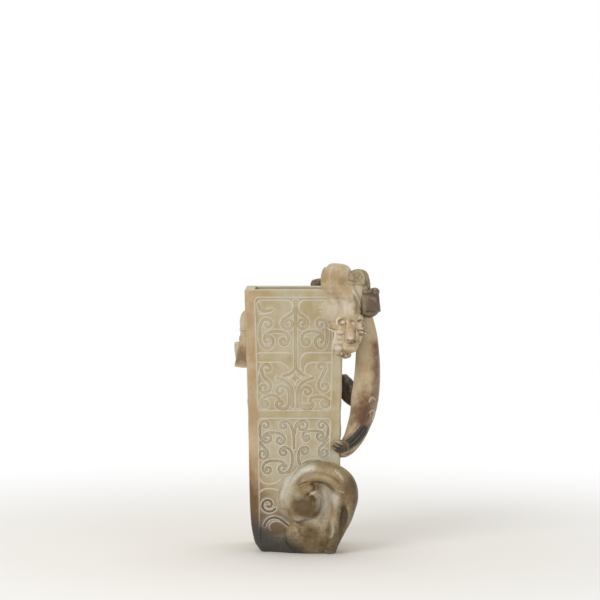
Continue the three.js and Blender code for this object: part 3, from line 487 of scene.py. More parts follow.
def carvedStone(name, look):
    # Soapstone: soft, fine-grained, carved and hand rubbed. Rubbed ridges go chalky pale, wax and
    # dirt darken the hollows, tea-brown stain lies in clouds, and the skin has a satin gloss. The
    # pale and brown marks also carry the painted highlights, painted light and painted shade that
    # some pieces have.
    material = bpy.data.materials.new(name)
    material.use_nodes = True
    tree = material.node_tree
    tree.nodes.clear()
    place = addNode(tree, "ShaderNodeTexCoord").outputs["Object"]
    seen = {}
    for mark in ("ridge", "hollow", "brown", "pale", "soot"):
        seen[mark] = addNode(tree, "ShaderNodeAttribute", attribute_name=mark).outputs["Fac"]
    for noise, (size, detail, stretch) in stoneNoises.items():
        mapping = addNode(tree, "ShaderNodeMapping", {"Scale": tuple(1 / part for part in stretch)},
                          {"Vector": place})
        values = {"Scale": 1 / (size * millimetre), "Detail": detail, "Roughness": 0.6}
        texture = addNode(tree, "ShaderNodeTexNoise", values, {"Vector": mapping.outputs[0]})
        seen[noise] = texture.outputs[0]

    # Each range eases its source from one value to another between two limits.
    ranges = {
        "warmShare": ("clouds", 0.36, 0.66, 0, 1),
        "patchy": ("mottle", 0.2, 0.8, -0.17, 0.17),
        "speckled": ("grit", 0.3, 0.7, -0.16, 0.16),
        "brownArea": ("brown", 0, 0.1, 0, 1),
        "sootArea": ("soot", 0, 0.12, 0, 1),
        "rubbedThin": ("mottle", 0.2, 0.55, 0.45, 1),
        "paleThin": ("mottle", 0.25, 0.6, 0.6, 1),
        "roughness": ("mottle", 0.2, 0.8, look["roughness"] - 0.06, look["roughness"] + 0.08),
    }
    for result, (source, low, high, least, most) in ranges.items():
        values = {"From Min": low, "From Max": high, "To Min": least, "To Max": most}
        eased = addNode(tree, "ShaderNodeMapRange", values, {"Value": seen[source]},
                        interpolation_type="SMOOTHSTEP")
        seen[result] = eased.outputs[0]
    for result, first, second in (("brownEdge", "brown", "patchy"), ("sootEdge", "soot", "speckled"),
                                  ("height", "grit", "mottle")):
        total = addNode(tree, "ShaderNodeMath", links={0: seen[first], 1: seen[second]}, operation="ADD")
        seen[result] = total.outputs[0]

    # A layer's colour, what shows it and between which limits, its greatest share, what thins it.
    layers = (
        ("warm", "mottle", (0.45, 0.72), look["mottle"], None),
        ("chalk", "strokes", (0.48, 0.7), look["streak"], None),
        ("dirt", "hollow", (0.05, 0.75), look["dirtShare"], None),
        # The brown marks are stains, and on some pieces painted shade as well.
        ("brown", "brownEdge", (0.12, 0.95), 1, "brownArea"),
        ("chalk", "ridge", (0.12, 0.7), look["chalkShare"], "rubbedThin"),
        # The pale marks are chalky wear, and on some pieces painted highlights and painted light as well.
        ("chalk", "pale", None, 1, "paleThin"),
        ("soot", "sootEdge", (0.1, 1.05), 1, "sootArea"),
        ("speckColour", "grit", (0.56, 0.7), look["speck"], None),
    )
    colour = addNode(tree, "ShaderNodeMix", {6: linear(look["base"]), 7: linear(look["warm"])},
                     {0: seen["warmShare"]}, data_type="RGBA").outputs[2]
    for shade, source, limits, most, thinning in layers:
        share = seen[source]
        if limits:
            values = {"From Min": limits[0], "From Max": limits[1], "To Max": most}
            share = addNode(tree, "ShaderNodeMapRange", values, {"Value": share},
                            interpolation_type="SMOOTHSTEP").outputs[0]
        if thinning:
            share = addNode(tree, "ShaderNodeMath", links={0: share, 1: seen[thinning]},
                            operation="MULTIPLY", use_clamp=True).outputs[0]
        colour = addNode(tree, "ShaderNodeMix", {7: linear(look[shade])}, {0: share, 6: colour},
                         data_type="RGBA").outputs[2]
    bump = addNode(tree, "ShaderNodeBump", {"Strength": look["bump"], "Distance": 0.5 * millimetre},
                   {"Height": seen["height"]})
    shader = addNode(tree, "ShaderNodeBsdfPrincipled", {"IOR": 1.54, "Metallic": 0.0},
                     {"Base Color": colour, "Roughness": seen["roughness"], "Normal": bump.outputs[0]})
    addNode(tree, "ShaderNodeOutputMaterial", links={"Surface": shader.outputs[0]})
    return material


# Colours are those of the pale Shoushan kind: sand, cream chalk, honey and tea brown.
stoneLook = {
    "base": "b8ac8d", "warm": "ab966a", "chalk": "d1ccbd", "dirt": "856a43", "brown": "715126",
    "soot": "403e3c", "speckColour": "57462f", "mottle": 0.35, "streak": 0.12, "dirtShare": 0.55,
    "chalkShare": 0.45, "speck": 0.06, "roughness": 0.5, "bump": 0.2,
}
looks = {
    "slab": {},
    "edge": {"base": "bda986", "warm": "ad9067", "mottle": 0.4, "streak": 0.15},
    "foot": {"speck": 0.3},
    "pale": {"base": "bfae8d", "warm": "ab8d62", "chalk": "d2cdbe", "brown": "735231", "mottle": 0.6,
             "chalkShare": 0.5, "speck": 0.14, "dirtShare": 0.45},
    "head": {"base": "c5b595", "warm": "b3956a", "chalk": "d8d2c2", "brown": "77572f", "mottle": 0.5,
             "chalkShare": 0.35, "speck": 0.14, "dirtShare": 0.45},
    "tuft": {"base": "a18f6b", "warm": "88734f", "brown": "5a452c", "mottle": 0.6, "chalkShare": 0.35,
             "speck": 0.35, "dirtShare": 0.65},
    "dark": {"base": "665140", "warm": "4b3829", "chalk": "9a8a6e", "dirt": "33261c",
             "brown": "3a2a1e", "speck": 0.2, "roughness": 0.4, "chalkShare": 0.4},
    "handle": {"base": "c4b393", "warm": "b59b70", "brown": "6d4725", "soot": "261c15", "roughness": 0.42,
               "mottle": 0.4, "streak": 0.15, "bump": 0.12, "chalkShare": 0.25},
    "coil": {"base": "ab9771", "warm": "8f754b", "brown": "5e4619", "dirt": "55421f", "soot": "3a342e",
             "roughness": 0.42, "speck": 0.75, "speckColour": "463925", "mottle": 0.6, "chalkShare": 0.3},
    "dowel": {"base": "b5a98f", "warm": "a08f72", "roughness": 0.7},
}
materials = {name: carvedStone(f"carvedSoapstone_{name}", {**stoneLook, **change})
             for name, change in looks.items()}
print("materials:", ", ".join(materials))


# Camera, floor and light

def aimAt(item, target):
    offset = np.asarray(target, float) - np.asarray(item.location)
    item.rotation_euler = (
        math.pi / 2 + math.atan2(offset[2], math.hypot(offset[0], offset[1])), 0,
        math.atan2(-offset[0], offset[1]))


def makeStage():
    view = {"place": (0.0076, -3.371, 0.500), "pitch": 2.589, "lens": 144.65}
    studio = {"ambient": 0.62, "floorSpan": 9000.0, "floorFade": (0.2, 1.1)}
    camera = bpy.data.objects.new("camera", bpy.data.cameras.new("camera"))
    camera.data.lens = view["lens"]
    camera.data.sensor_width = 36
    camera.data.clip_end = 50
    camera.location = view["place"]
    camera.rotation_euler = (math.radians(90 - view["pitch"]), 0, 0)
    bpy.context.scene.collection.objects.link(camera)
    bpy.context.scene.camera = camera
    lamps = (
        ("keyPanel", (-1.4, -2.0, 1.7), 1.3, 27.8),
        ("fillPanel", (1.8, -1.7, 0.9), 1.6, 5),
        ("topPanel", (0.1, 0.5, 2.0), 1.4, 10),
    )
    for name, place, width, power in lamps:
        lamp = bpy.data.objects.new(name, bpy.data.lights.new(name, "AREA"))
        lamp.data.size = width
        lamp.data.energy = power
        lamp.location = place
        aimAt(lamp, (0, 0, 0.2))
        bpy.context.scene.collection.objects.link(lamp)
    world = bpy.data.worlds.new("studio")
    world.use_nodes = True
    bpy.context.scene.world = world
    tree = world.node_tree
    tree.nodes.clear()
    ambient = addNode(tree, "ShaderNodeBackground",
                      {"Color": linear("f4f2ee"), "Strength": studio["ambient"]})
    backdrop = addNode(tree, "ShaderNodeBackground", {"Color": linear("ffffff"), "Strength": 1.0})
    seen = addNode(tree, "ShaderNodeLightPath").outputs["Is Camera Ray"]
    mixed = addNode(tree, "ShaderNodeMixShader",
                    links={0: seen, 1: ambient.outputs[0], 2: backdrop.outputs[0]})
    addNode(tree, "ShaderNodeOutputWorld", links={"Surface": mixed.outputs[0]})
    corners = np.array([[-1, -1, 0], [1, -1, 0], [1, 1, 0], [-1, 1, 0]]) * studio["floorSpan"]
    floor = addObject("floor", meshFrom("floor", corners, [np.array([[0, 1, 2, 3]])]))
    # The floor turns into the white backdrop with distance from the vase.
    paint = bpy.data.materials.new("paleFloor")
    paint.use_nodes = True
    paintTree = paint.node_tree
    paintTree.nodes.clear()
    matt = addNode(paintTree, "ShaderNodeBsdfDiffuse", {"Color": linear("f3f1ed")})
    glow = addNode(paintTree, "ShaderNodeEmission", {"Color": linear("ffffff"), "Strength": 1.0})
    place = addNode(paintTree, "ShaderNodeTexCoord").outputs["Object"]
    away = addNode(paintTree, "ShaderNodeVectorMath", links={0: place}, operation="LENGTH")
    nearEnd, farEnd = studio["floorFade"]
    fade = addNode(paintTree, "ShaderNodeMapRange", {"From Min": nearEnd, "From Max": farEnd},
                   {"Value": away.outputs["Value"]}, interpolation_type="SMOOTHSTEP")
    cover = addNode(paintTree, "ShaderNodeMixShader",
                    links={0: fade.outputs[0], 1: matt.outputs[0], 2: glow.outputs[0]})
    addNode(paintTree, "ShaderNodeOutputMaterial", links={"Surface": cover.outputs[0]})
    floor.data.materials.append(paint)
    bpy.context.scene.view_settings.view_transform = "Standard"


makeStage()
print("camera, floor and lights are in place")


# Scroll relief, drawn once in face coordinates: across from the middle line, and height.
relief = {
    "sink": 1.0,           # ground of the panels below the plain borders
    "bandRise": 0.35,      # rounded back of a scroll's band
    "bandWidth": 1.0,
    "grooveDepth": 0.5,    # groove on each side of the band
    "lowerTop": 200,       # below this the carving turns finer, more deeply cut and chalkier,
    "finerOver": 12,       # each over its own height
    "deeperOver": 50,
    "chalkierOver": 35,
    "lowerDepth": 0.6,     # the lower panel's grooves are deeper by this
    "lowerScale": 0.82,    # the lower panel's bands are narrower
    "groovePlace": 1.45,
    "grooveWidth": 0.7,
    "rimRise": 0.85,       # raised outline beyond each groove
    "rimPlace": 2.75,
    "rimWidth": 0.9,
    "lineRise": 0.9,       # raised lines that stand alone
    "lineWidth": 0.95,
    "upperAxis": 2.0,      # the two panels' middle lines, not quite true
    "lowerAxis": -0.5,
    "squeeze": 0.88,       # the right half of the upper panel is drawn narrower
    "barRise": 1.25,       # two cushion bars across the upper panel: rise, middle height, half height
    "barMiddle": 271.2,
    "barHalf": 6.8,
    "eyeRise": 0.9,        # boss in the eye of a spiral
    "eyeWidth": 1.3,
    "panelSlope": 2.5,     # width over which a panel's ground sinks from its border
    "dustWidth": 6.5,      # pale dust beside a band, clear of the band by dustGap
    "dustGap": 2.4,
    "quietWidth": 2.0,     # lone lines end this far from a band
    "barSlope": 5.5,       # width over which a cushion bar rises
    "lipFade": (8, 22),    # heights over which the panels' lip fades out on the worn foot,
    "groundFade": (6, 26),      # their sunk ground
    "rubbingFade": (14, 46),    # and the pale rubbing
}

# A stroke is its points, then the eye it starts from and the eye it ends in: across, height, turns.
upperLeft = [
    ([(1, 349), (1.2, 341), (-2, 333), (-10, 327.5), (-15.5, 323), (-17, 317.5), (-13.5, 312),
      (-7, 311)], None, (-8.7, 318.5, 0.95)),
    ([(-43.5, 322), (-46.8, 314), (-47.3, 304), (-46.5, 293), (-42, 285.5), (-35.5, 284), (-30.5, 288)],
     (-37, 317, -0.9), (-37, 294.5, 0.8)),
    ([(-41, 296), (-39.5, 302), (-34, 306), (-25, 307.5), (-15, 306.3), (-8.8, 302), (-7.6, 296),
      (-10.5, 289.7)], None, (-14.8, 294, -0.95)),
    ([(-49, 344.5), (-47, 337.5), (-41, 335.3), (-34.5, 336.2), (-31, 337.2)], None, None),
]
middleLeft = [
    ([(1.8, 338), (1.8, 300), (1.8, 262), (0.3, 255.5), (-5, 249.5), (-14.5, 246)], None, None),
    ([(-45.4, 254.5), (-42, 244), (-35, 238), (-32.3, 231.5), (-35, 225), (-42, 222.3)],
     (-37.5, 255.5, -0.9), (-41.5, 229.3, -0.85)),
    ([(-23.5, 243), (-14, 239.5), (-6.5, 233.5), (-3, 225), (-2.3, 203)], None, None),
    ([(-15, 231.5), (-9, 228), (-6.8, 219), (-6.8, 208), (-10.5, 201.8), (-17, 200.3), (-23.5, 203)],
     (-18.5, 224.8, 0.9), (-19, 207.3, -0.85)),
    ([(-20.5, 213), (-25, 217.8), (-33, 219), (-41, 216.3), (-45.5, 210), (-43.5, 203.5)],
     None, (-40, 208, 0.85)),
]
middleRight = [
    ([(1.8, 262), (3.2, 255.5), (8.5, 250), (13, 247)], None, None),
    ([(42, 253), (38, 245), (33.5, 237), (33.5, 230), (37.5, 225)],
     (36.5, 257.5, 0.9), (41, 231.5, 0.85)),
    ([(26, 243), (16, 239.5), (8.5, 233.5), (5.2, 225), (4.4, 203)], None, None),
    ([(13.5, 230), (8.8, 224), (7.6, 213), (8.6, 205), (13, 200.9), (22, 201), (26, 205), (24, 209.3)],
     (17.2, 224, -0.9), None),
    ([(12.5, 205.2), (18, 204.8), (23, 205.2)], None, None),
    ([(21.5, 211), (23.5, 215), (30, 216.8), (40, 216), (47, 211.5), (46.5, 205)],
     None, (41.5, 208.3, -0.85)),
]
lowerLeft = [
    ([(-44.5, 182), (-47.3, 174), (-47, 163), (-43, 155.5), (-37, 153.8), (-32.5, 157.5)],
     (-39.8, 177.3, -0.9), (-38, 160, 0.8)),
    ([(-42.5, 161), (-40, 165.3), (-34, 167.5), (-24, 167), (-16.5, 164), (-13.4, 158.5), (-16, 153)],
     None, (-20, 157.3, -0.9)),
    ([(-17, 182), (-11, 182.8), (-6.5, 180), (-3, 173), (-1, 164), (-0.6, 146)], (-14.2, 177, 0.9), None),
    ([(-47.5, 154), (-42, 147), (-37, 141.5), (-37, 135), (-42, 131)], None, (-43, 138, -0.9)),
    ([(-19, 144.5), (-13.5, 147.2), (-7, 144.5), (-3.4, 138), (-2.6, 129), (-4.5, 119), (-9.5, 112.5),
      (-16, 111.3)], (-14.5, 140.5, 0.95), (-15.8, 118, -0.95)),
    ([(-10.8, 120.5), (-16, 126), (-24, 128.2), (-34, 128), (-41.3, 124), (-43.4, 117.5),
      (-40.5, 111.8)], None, (-36.8, 116.5, 0.95)),
    ([(-26.5, 61.5), (-30.5, 58.8), (-36, 57.8), (-42, 60.5)], None, (-36, 67.4, -1.0)),
    ([(-41.5, 38), (-39, 43.5), (-33.5, 48.3), (-26, 49.4), (-19, 46.8), (-11, 40.5), (-4, 34.5),
      (4, 27)], None, None),
]
lowerRight = [
    ([(17, 182), (10.5, 184), (4.5, 181), (1.5, 174), (0.3, 166)], (10.6, 177, -1.0), None),
    ([(40, 183), (45, 178), (46.2, 168), (43, 159), (36, 155.8), (31.5, 160)],
     (37.8, 177.3, 0.9), (37, 162.5, -0.9)),
    ([(38, 168), (33, 169.5), (22.5, 169.5), (14.5, 168), (11.5, 162.5), (14, 156.8)],
     None, (16.8, 160.8, 0.9)),
    ([(46, 158), (40, 151.5), (34.5, 145.5), (34, 138), (38.3, 133.3)], None, (40.3, 139.8, 0.95)),
    ([(16, 147.5), (10, 146.5), (6.3, 140), (5.6, 130.5), (8, 123)], (13.6, 141.6, -1.0), None),
]
# Raised lines without a groove: the outlines of the bars, leaves and lozenge.
ridgeLines = [
    [(-50.5, 344), (-49, 348.8), (-44.5, 350.2), (-12, 350.3), (-6.5, 349), (-3.3, 344.5), (-2.6, 338)],
    [(6.6, 338), (7.3, 344.5), (10.5, 349), (16, 350.3), (48, 350.3)],
    [(-31.5, 333), (-40, 331.3), (-47.5, 331)], [(35, 340), (46, 339)], [(35, 335), (46, 334)],
    [(-47, 277.8), (-30, 277.8), (-12, 277.8), (-4.5, 277)],
    [(-47, 264.6), (-30, 264.6), (-17, 264), (-7, 256)],
    [(-47, 277.8), (-51.3, 276), (-52.6, 271.2), (-51.3, 266.4), (-47, 264.6)],
    [(50.5, 278), (36, 278), (20, 278), (12.5, 275.5), (8.4, 268), (8.4, 259), (11, 250.5), (13.5, 247)],
    [(50.5, 264.5), (36, 264.5), (24, 264.5), (18, 262), (14.5, 256.5), (15.2, 250), (24.5, 245)],
    [(-50, 240), (-49.5, 249), (-47, 256.5), (-40, 261)], [(1, 252.4), (-1.8, 246), (-9, 242.8)],
    [(-9, 242.8), (-1.8, 239.4), (1, 232.8)], [(1, 232.8), (3.8, 239.4), (11, 242.8)],
    [(11, 242.8), (3.8, 246), (1, 252.4)],
    [(-49.8, 128), (-49.8, 116), (-48.2, 106), (-45, 99.4), (-38.3, 96.5), (-31.4, 96.2), (-24.6, 98.2),
     (-19, 102)], [(10.5, 123), (18, 127.5), (26.5, 130), (34, 130.5)],
    [(9.5, 121), (15, 111), (25, 104), (38, 100), (46, 98)],
    [(-49.5, 79.5), (-47.8, 84.5), (-43.2, 88.3), (-37, 89.8), (-30, 89.3), (-22, 87.6)],
    spiralPoints((-36, 67.4), (-41.2, 66.6), -1.45, 40, 0.1),
    [(-33, 31.5), (-35, 36.8), (-32.5, 41.8), (-27, 44.3), (-21, 43.8), (-14, 40)],
]
bars = [(-51.5, -3), (9, 51.5)]        # ends of the two cushion bars
panels = [(198, 354), (-30, 187)]      # floor and top of the panels; the lower one runs off the foot


def mirrored(strokes, axis, squeeze=1.0):
    # The other half of a pattern: points reflected in the axis, and eyes turning the other way.
    def flip(across):
        return axis + (axis - across) * squeeze
    result = []
    for points, first, last in strokes:
        eyes = [eye and (flip(eye[0]), eye[1], -eye[2]) for eye in (first, last)]
        result.append(([(flip(across), height) for across, height in points], *eyes))
    return result


def strokeCourse(points, first, last):
    # Middle line of a stroke: its smooth course with a spiral into each eye.
    course = smoothCourse(points, 14 * len(points))
    if first:
        course = np.vstack([spiralPoints(first[:2], course[0], first[2])[::-1], course])
    if last:
        course = np.vstack([course, spiralPoints(last[:2], course[-1], last[2])])
    return course


def allStrokes():
    lowest = [stroke for stroke in lowerLeft if max(point[1] for point in stroke[0]) < 130]
    upper = upperLeft + mirrored(upperLeft[:3], relief["upperAxis"], relief["squeeze"])
    lower = lowerLeft + lowerRight + mirrored(lowest, relief["lowerAxis"])
    return upper + middleLeft + middleRight + lower


def framed(height):
    # Share of the height where the border of a panel runs along the seam.
    share = np.zeros(height.shape)
    for floor, top in panels:
        share += smoothStep(height, floor + 1, floor + 7) * smoothStep(-height, 1 - top, 7 - top)
    return share * smoothStep(height, *relief["lipFade"])


def frameLine(floor, top, corner=6.0):
    # Border of a panel as a closed course: a rounded rectangle whose sides follow the seams.
    turn = np.linspace(0, math.pi / 2, 8)
    sides = np.linspace(0, 1, 24)[1:-1]
    course = []
    for index in range(4):
        sideways = 1 if index in (0, 3) else -1
        middle = top - corner if index < 2 else floor + corner
        angle = turn + index * math.pi / 2
        height = middle + corner * np.sin(angle)
        across = cavityReach(height) * sideways + corner * (np.cos(angle) - sideways)
        course.append(np.column_stack([across, height]))
        if index in (1, 3):
            height = height[-1] + (floor + top - 2 * middle) * sides
            course.append(np.column_stack([cavityReach(height) * sideways, height]))
    course = np.vstack(course)
    return np.vstack([course, course[:1]])


def faceRelief(across, height):
    # Height of the carving over the plain face, and its chalkiness. The ground is sunk; a band is
    # rounded, with a groove and then a raised outline on both sides; cushion bars, lone lines and
    # the eyes' bosses stand up. The outlines are rubbed pale, and dust lies between close bands.
    places = np.column_stack([across.ravel(), height.ravel()])
    strokes = allStrokes()
    bands = gapTo(places, [strokeCourse(*stroke) for stroke in strokes]).reshape(across.shape)
    lines = [smoothCourse(line, 60) for line in ridgeLines] + [frameLine(*panel) for panel in panels]
    ridges = gapTo(places, lines).reshape(across.shape)
    slope = relief["panelSlope"]
    inside = np.zeros(across.shape)
    for floor, top in panels:
        within = smoothStep(height, floor, floor + slope) * smoothStep(-height, -top, slope - top)
        inside += within * smoothStep(cavityReach(height) - np.abs(across), 0, slope)
    inside *= smoothStep(height, *relief["groundFade"])
    half = relief["barHalf"]
    bar = np.zeros(across.shape)
    for left, right in bars:
        beyond = np.maximum(np.maximum(left + half - across, across - right + half), 0)
        depthInside = half - np.hypot(beyond, height - relief["barMiddle"])
        bar = np.maximum(bar, smoothStep(depthInside, 0, relief["barSlope"]))
    clear = 1 - smoothStep(bar, 0.0, 0.3)
    below = relief["lowerTop"] - height
    bands = bands / (1 - (1 - relief["lowerScale"]) * smoothStep(below, 0, relief["finerOver"]))
    outline = hump(bands - relief["rimPlace"], relief["rimWidth"]) * clear
    quiet = 1 - hump(bands, relief["quietWidth"]) * clear
    ridge = hump(ridges, relief["lineWidth"]) * quiet
    depth = (relief["barRise"] * bar - relief["sink"]) * inside
    depth += relief["bandRise"] * hump(bands, relief["bandWidth"]) * clear
    cut = relief["grooveDepth"] + relief["lowerDepth"] * smoothStep(below, 0, relief["deeperOver"])
    depth -= cut * hump(bands - relief["groovePlace"], relief["grooveWidth"]) * clear
    depth += relief["rimRise"] * outline + relief["lineRise"] * ridge
    for _, first, last in strokes:
        for eye in (first, last):
            if eye:
                boss = hump(np.hypot(across - eye[0], height - eye[1]), relief["eyeWidth"])
                depth += relief["eyeRise"] * boss
    low = smoothStep(below, 0, relief["chalkierOver"])
    between = hump(bands, relief["dustWidth"]) * (1 - hump(bands, relief["dustGap"]))
    dust = (0.25 + 0.3 * low) * between * inside
    chalk = np.maximum((0.7 + 0.5 * low) * outline ** 0.6, (0.85 + 0.15 * low) * ridge ** 0.7)
    fade = smoothStep(height, *relief["rubbingFade"])
    return depth, np.maximum(dust, chalk) * (0.25 + 0.75 * fade)


def skinBetween(rings):
    # Skin over a stack of rings whose two end rings are each closed by one flat many-sided face.
    rows, columns = rings.shape[:2]
    points, (quads, _) = closedGrid(rings)
    low = np.arange(columns)[::-1][None]
    high = (np.arange(columns) + (rows - 1) * columns)[None]
    return points[:rows * columns], [quads, low, high]


def bodyLevels(low, high):
    return np.linspace(low, high, round((high - low) * fineness / vase["gridStep"]))


def levelled(heights, across):
    # The heights as a grid with as many columns as `across` has.
    return np.broadcast_to(heights[:, None], across.shape)


def faceWave(across, height, quarter):
    # Hand-rubbed unevenness of a wall's face; it only takes stone away.
    places = np.stack([across, 0 * across + quarter * 90, height], -1).reshape(-1, 3)
    return vase["handWave"] * (handWave(places, vase["waveSize"]).reshape(across.shape) - 1)


def rimEase(heights):
    # Inset that rounds the edge of the mouth: a quarter circle at the very top.
    rise = np.clip((heights - vase["height"] + vase["rimRound"]) / vase["rimRound"], 0, 1)
    return vase["rimRound"] * (1 - np.sqrt(np.clip(1 - rise ** 2, 0, 1)))


def turnedFace(points, quarter):
    # Quarter turns about the middle line: 0 is the front, 1 the right, 2 the back, 3 the left.
    angle = quarter * math.pi / 2
    x = points[..., 0] * math.cos(angle) - points[..., 1] * math.sin(angle)
    y = points[..., 0] * math.sin(angle) + points[..., 1] * math.cos(angle)
    return np.stack([x, y, points[..., 2]], -1)


def wallLevels():
    heights = bodyLevels(vase["footHeight"], vase["height"] - vase["rimRound"])
    top = vase["height"] - vase["rimRound"] * (1 - np.sin(np.linspace(0, 1, 5)[1:] * math.pi / 2))
    return np.concatenate([heights, top])


def carvedSlab(name, quarter):
    # Slab between the side slabs. Across the face u runs seam to seam and v up the wall; the point
    # stands at the face's reach plus the carving, and the inner face is two straight columns.
    heights = wallLevels()
    columns = round(2 * cavityReach(vase["height"]) * fineness / vase["gridStep"])
    share = np.linspace(-1, 1, columns)
    half = cavityReach(heights) - vase["seam"] / 2
    across = half[:, None] * share
    height = levelled(heights, across)
    carving, chalk = faceRelief(across, height)
    out = (faceReach(heights) - rimEase(heights))[:, None] + carving + faceWave(across, height, quarter)
    face = np.stack([across, -out, height], -1)
    backAcross = half[:, None] * np.array([1, -1])
    inner = levelled(cavityReach(heights) + rimEase(heights), backAcross)
    back = np.stack([backAcross, -inner, levelled(heights, inner)], -1)
    rings = turnedFace(np.concatenate([face, back], 1), quarter)
    marks = [np.concatenate([values, 0 * inner], 1).ravel() for values in (carving, chalk)]
    return addObject(name, meshFrom(name, *skinBetween(rings))), marks


def edgeSlab(name, quarter):
    # Full-depth side slab: the section runs from the seam along the edge strip, round the rubbed
    # corner, across the carved face, and back to the other seam.
    heights = wallLevels()
    columns = round(2 * faceReach(vase["height"]) * fineness / vase["sideStep"])
    corner = vase["edgeRound"]
    reach = (faceReach(heights) - rimEase(heights) - vase["sideInset"])[:, None]
    inner = cavityReach(heights)[:, None] + vase["seam"] / 2
    turn = np.linspace(0, math.pi / 2, 8)[1:-1]
    sideways = np.linspace(0, 1, round(vase["stripPoints"] * fineness))
    stripDepth = inner + (reach - corner - inner) * sideways
    lip = hump(stripDepth - inner, relief["lineWidth"]) * framed(heights)[:, None]
    stripAcross = -reach - relief["lineRise"] * lip
    cornerAcross = -(reach - corner) - corner * np.cos(turn)
    cornerDepth = (reach - corner) + corner * np.sin(turn)
    share = np.linspace(-1, 1, columns)
    faceAcross = (reach - corner) * share
    height = levelled(heights, faceAcross)
    carving, chalk = faceRelief(faceAcross, height)
    faceDepth = reach + carving + faceWave(faceAcross, height, quarter)
    halfAcross = np.hstack([stripAcross, cornerAcross])
    halfDepth = np.hstack([stripDepth, cornerDepth])
    across = np.hstack([halfAcross, faceAcross, -halfAcross[:, ::-1]])
    depth = np.hstack([halfDepth, faceDepth, halfDepth[:, ::-1]])
    short, long = vase["edgeWaves"]
    worn = vase["handWave"] * np.sin(heights / short + quarter) * np.sin(heights / long + 1)
    across = across * (1 + worn[:, None] * vase["edgeWear"])
    rings = turnedFace(np.stack([across, -depth, levelled(heights, across)], -1), quarter)
    marks = []
    for beside, values in ((0 * lip, carving), (0.85 * lip ** 0.7, chalk)):
        sides = [beside, 0 * cornerAcross]
        marks.append(np.concatenate([*sides, values, sides[1], beside[:, ::-1]], 1).ravel())
    return addObject(name, meshFrom(name, *skinBetween(rings))), marks


def footForm(name):
    # Worn foot: at each height a square with rounded corners, its face reach drawn in towards the
    # ground, carrying the lowest carving, over a flat underside.
    heights = np.concatenate([[0, 0.5], bodyLevels(1.2, vase["footHeight"] - vase["seam"])])
    columns = round(2 * faceReach(vase["footHeight"]) * fineness / vase["footStep"])
    edge = vase["footEdge"] * np.exp(-heights / vase["footEdgeFade"])
    reach = (faceReach(heights) - edge)[:, None]
    corner = (vase["edgeRound"] + vase["footCorner"] * np.exp(-heights / vase["footCornerFade"]))[:, None]
    turn = np.linspace(0, math.pi / 2, 9)[1:-1]
    faceAcross = (reach - corner) * np.linspace(-1, 1, columns)
    height = levelled(heights, faceAcross)
    carving, chalk = faceRelief(faceAcross, height)
    carving = carving * smoothStep(height, *vase["footPlain"])
    across = np.hstack([faceAcross, (reach - corner) + corner * np.sin(turn)])
    depth = np.hstack([reach + carving, (reach - corner) + corner * np.cos(turn)])
    side = np.stack([across, -depth, levelled(heights, across)], -1)
    plain = np.zeros((len(heights), len(turn)))
    points, faceSets = skinBetween(np.hstack([turnedFace(side, quarter) for quarter in range(4)]))
    marks = [np.hstack(4 * [values, plain]).ravel() for values in (carving, chalk)]
    return addObject(name, meshFrom(name, points, faceSets)), marks


wallStainsAndPaintedLight = {
    "brown": [
        (-68, -66, 110, 9, 14, 50, 0.62), (-66, -62, 60, 12, 14, 34, 0.85),
        (-66, -60, 330, 9, 12, 26, 0.25), (-30, -66, 42, 20, 20, 14, 0.6),
        (-40, -66, 70, 18, 14, 26, 0.5), (66, -66, 150, 8, 14, 60, 0.2), (-20, -66, 150, 6, 12, 12, 0.2),
        (66, 20, 90, 20, 60, 60, 0.3), (-66, 20, 70, 20, 60, 60, 0.35), (-14, -66, 34, 24, 12, 12, 0.5),
        (-38, -66, 32, 30, 16, 22, 0.95), (-54, -66, 84, 20, 14, 34, 0.35),
        (-20, -66, 46, 16, 12, 14, 0.45), (-70, -66, 34, 8, 30, 30, 0.5),
        (-36, -66, 67, 12, 12, 12, 0.35),
    ],
    "pale": [
        (55, -66, 335, 16, 12, 18, 0.45), (60, -66, 205, 4, 10, 60, 0.15),
        (40, -66, 132, 26, 10, 16, 0.6), (0, -66, 215, 16, 10, 16, 0.25), (-38, -66, 100, 8, 8, 12, 0.2),
        # Painted light: the flat spot at height 366 lightens the tops of the walls as if lit from above.
        (-9, -66, 92, 11, 10, 26, 0.9), (-14, -66, 62, 8, 10, 18, 0.4), (0, 0, 366, 200, 200, 1.8, 0.9),
        # Painted light: the spot at y 56 lightens the shaded inner face of the back wall.
        (0, 56, 358, 60, 9, 12, 0.95), (56, -66, 290, 8, 12, 30, 0.35), (-30, -66, 165, 24, 10, 30, 0.12),
        (20, -66, 165, 28, 10, 30, 0.2),
    ],
    "soot": [
        (-60, -60, 2, 18, 30, 46, 1.3), (-30, -62, -4, 36, 20, 36, 1.3), (12, -60, -2, 34, 30, 20, 0.5),
        (-66, 0, 10, 12, 60, 26, 0.7), (0, 62, 8, 70, 20, 20, 0.6), (66, 30, 6, 12, 50, 20, 0.6),
        (-70, -66, 52, 8, 30, 34, 0.5),
    ],
}

# Each wall's stone, its slot, and its slab with the marks of its carving
walls = {
    "front_wall": ("slab", "slab_stone", carvedSlab("frontSlab", 0)),
    "right_wall": ("slab", "edge_stone", edgeSlab("rightSlab", 1)),
    "back_wall": ("slab", "slab_stone", carvedSlab("backSlab", 2)),
    "left_wall": ("edge", "edge_stone", edgeSlab("leftSlab", 3)),
    "foot_block": ("foot", "foot_stone", footForm("footBlock")),
}
for node, (stone, slotName, (piece, marks)) in walls.items():
    outward(piece.data)
    weatherAndPaintedLight(piece, wallStainsAndPaintedLight, marks)
    finish(piece, node, materials[stone])
print("vase walls carved")


# Dragon on the front right corner

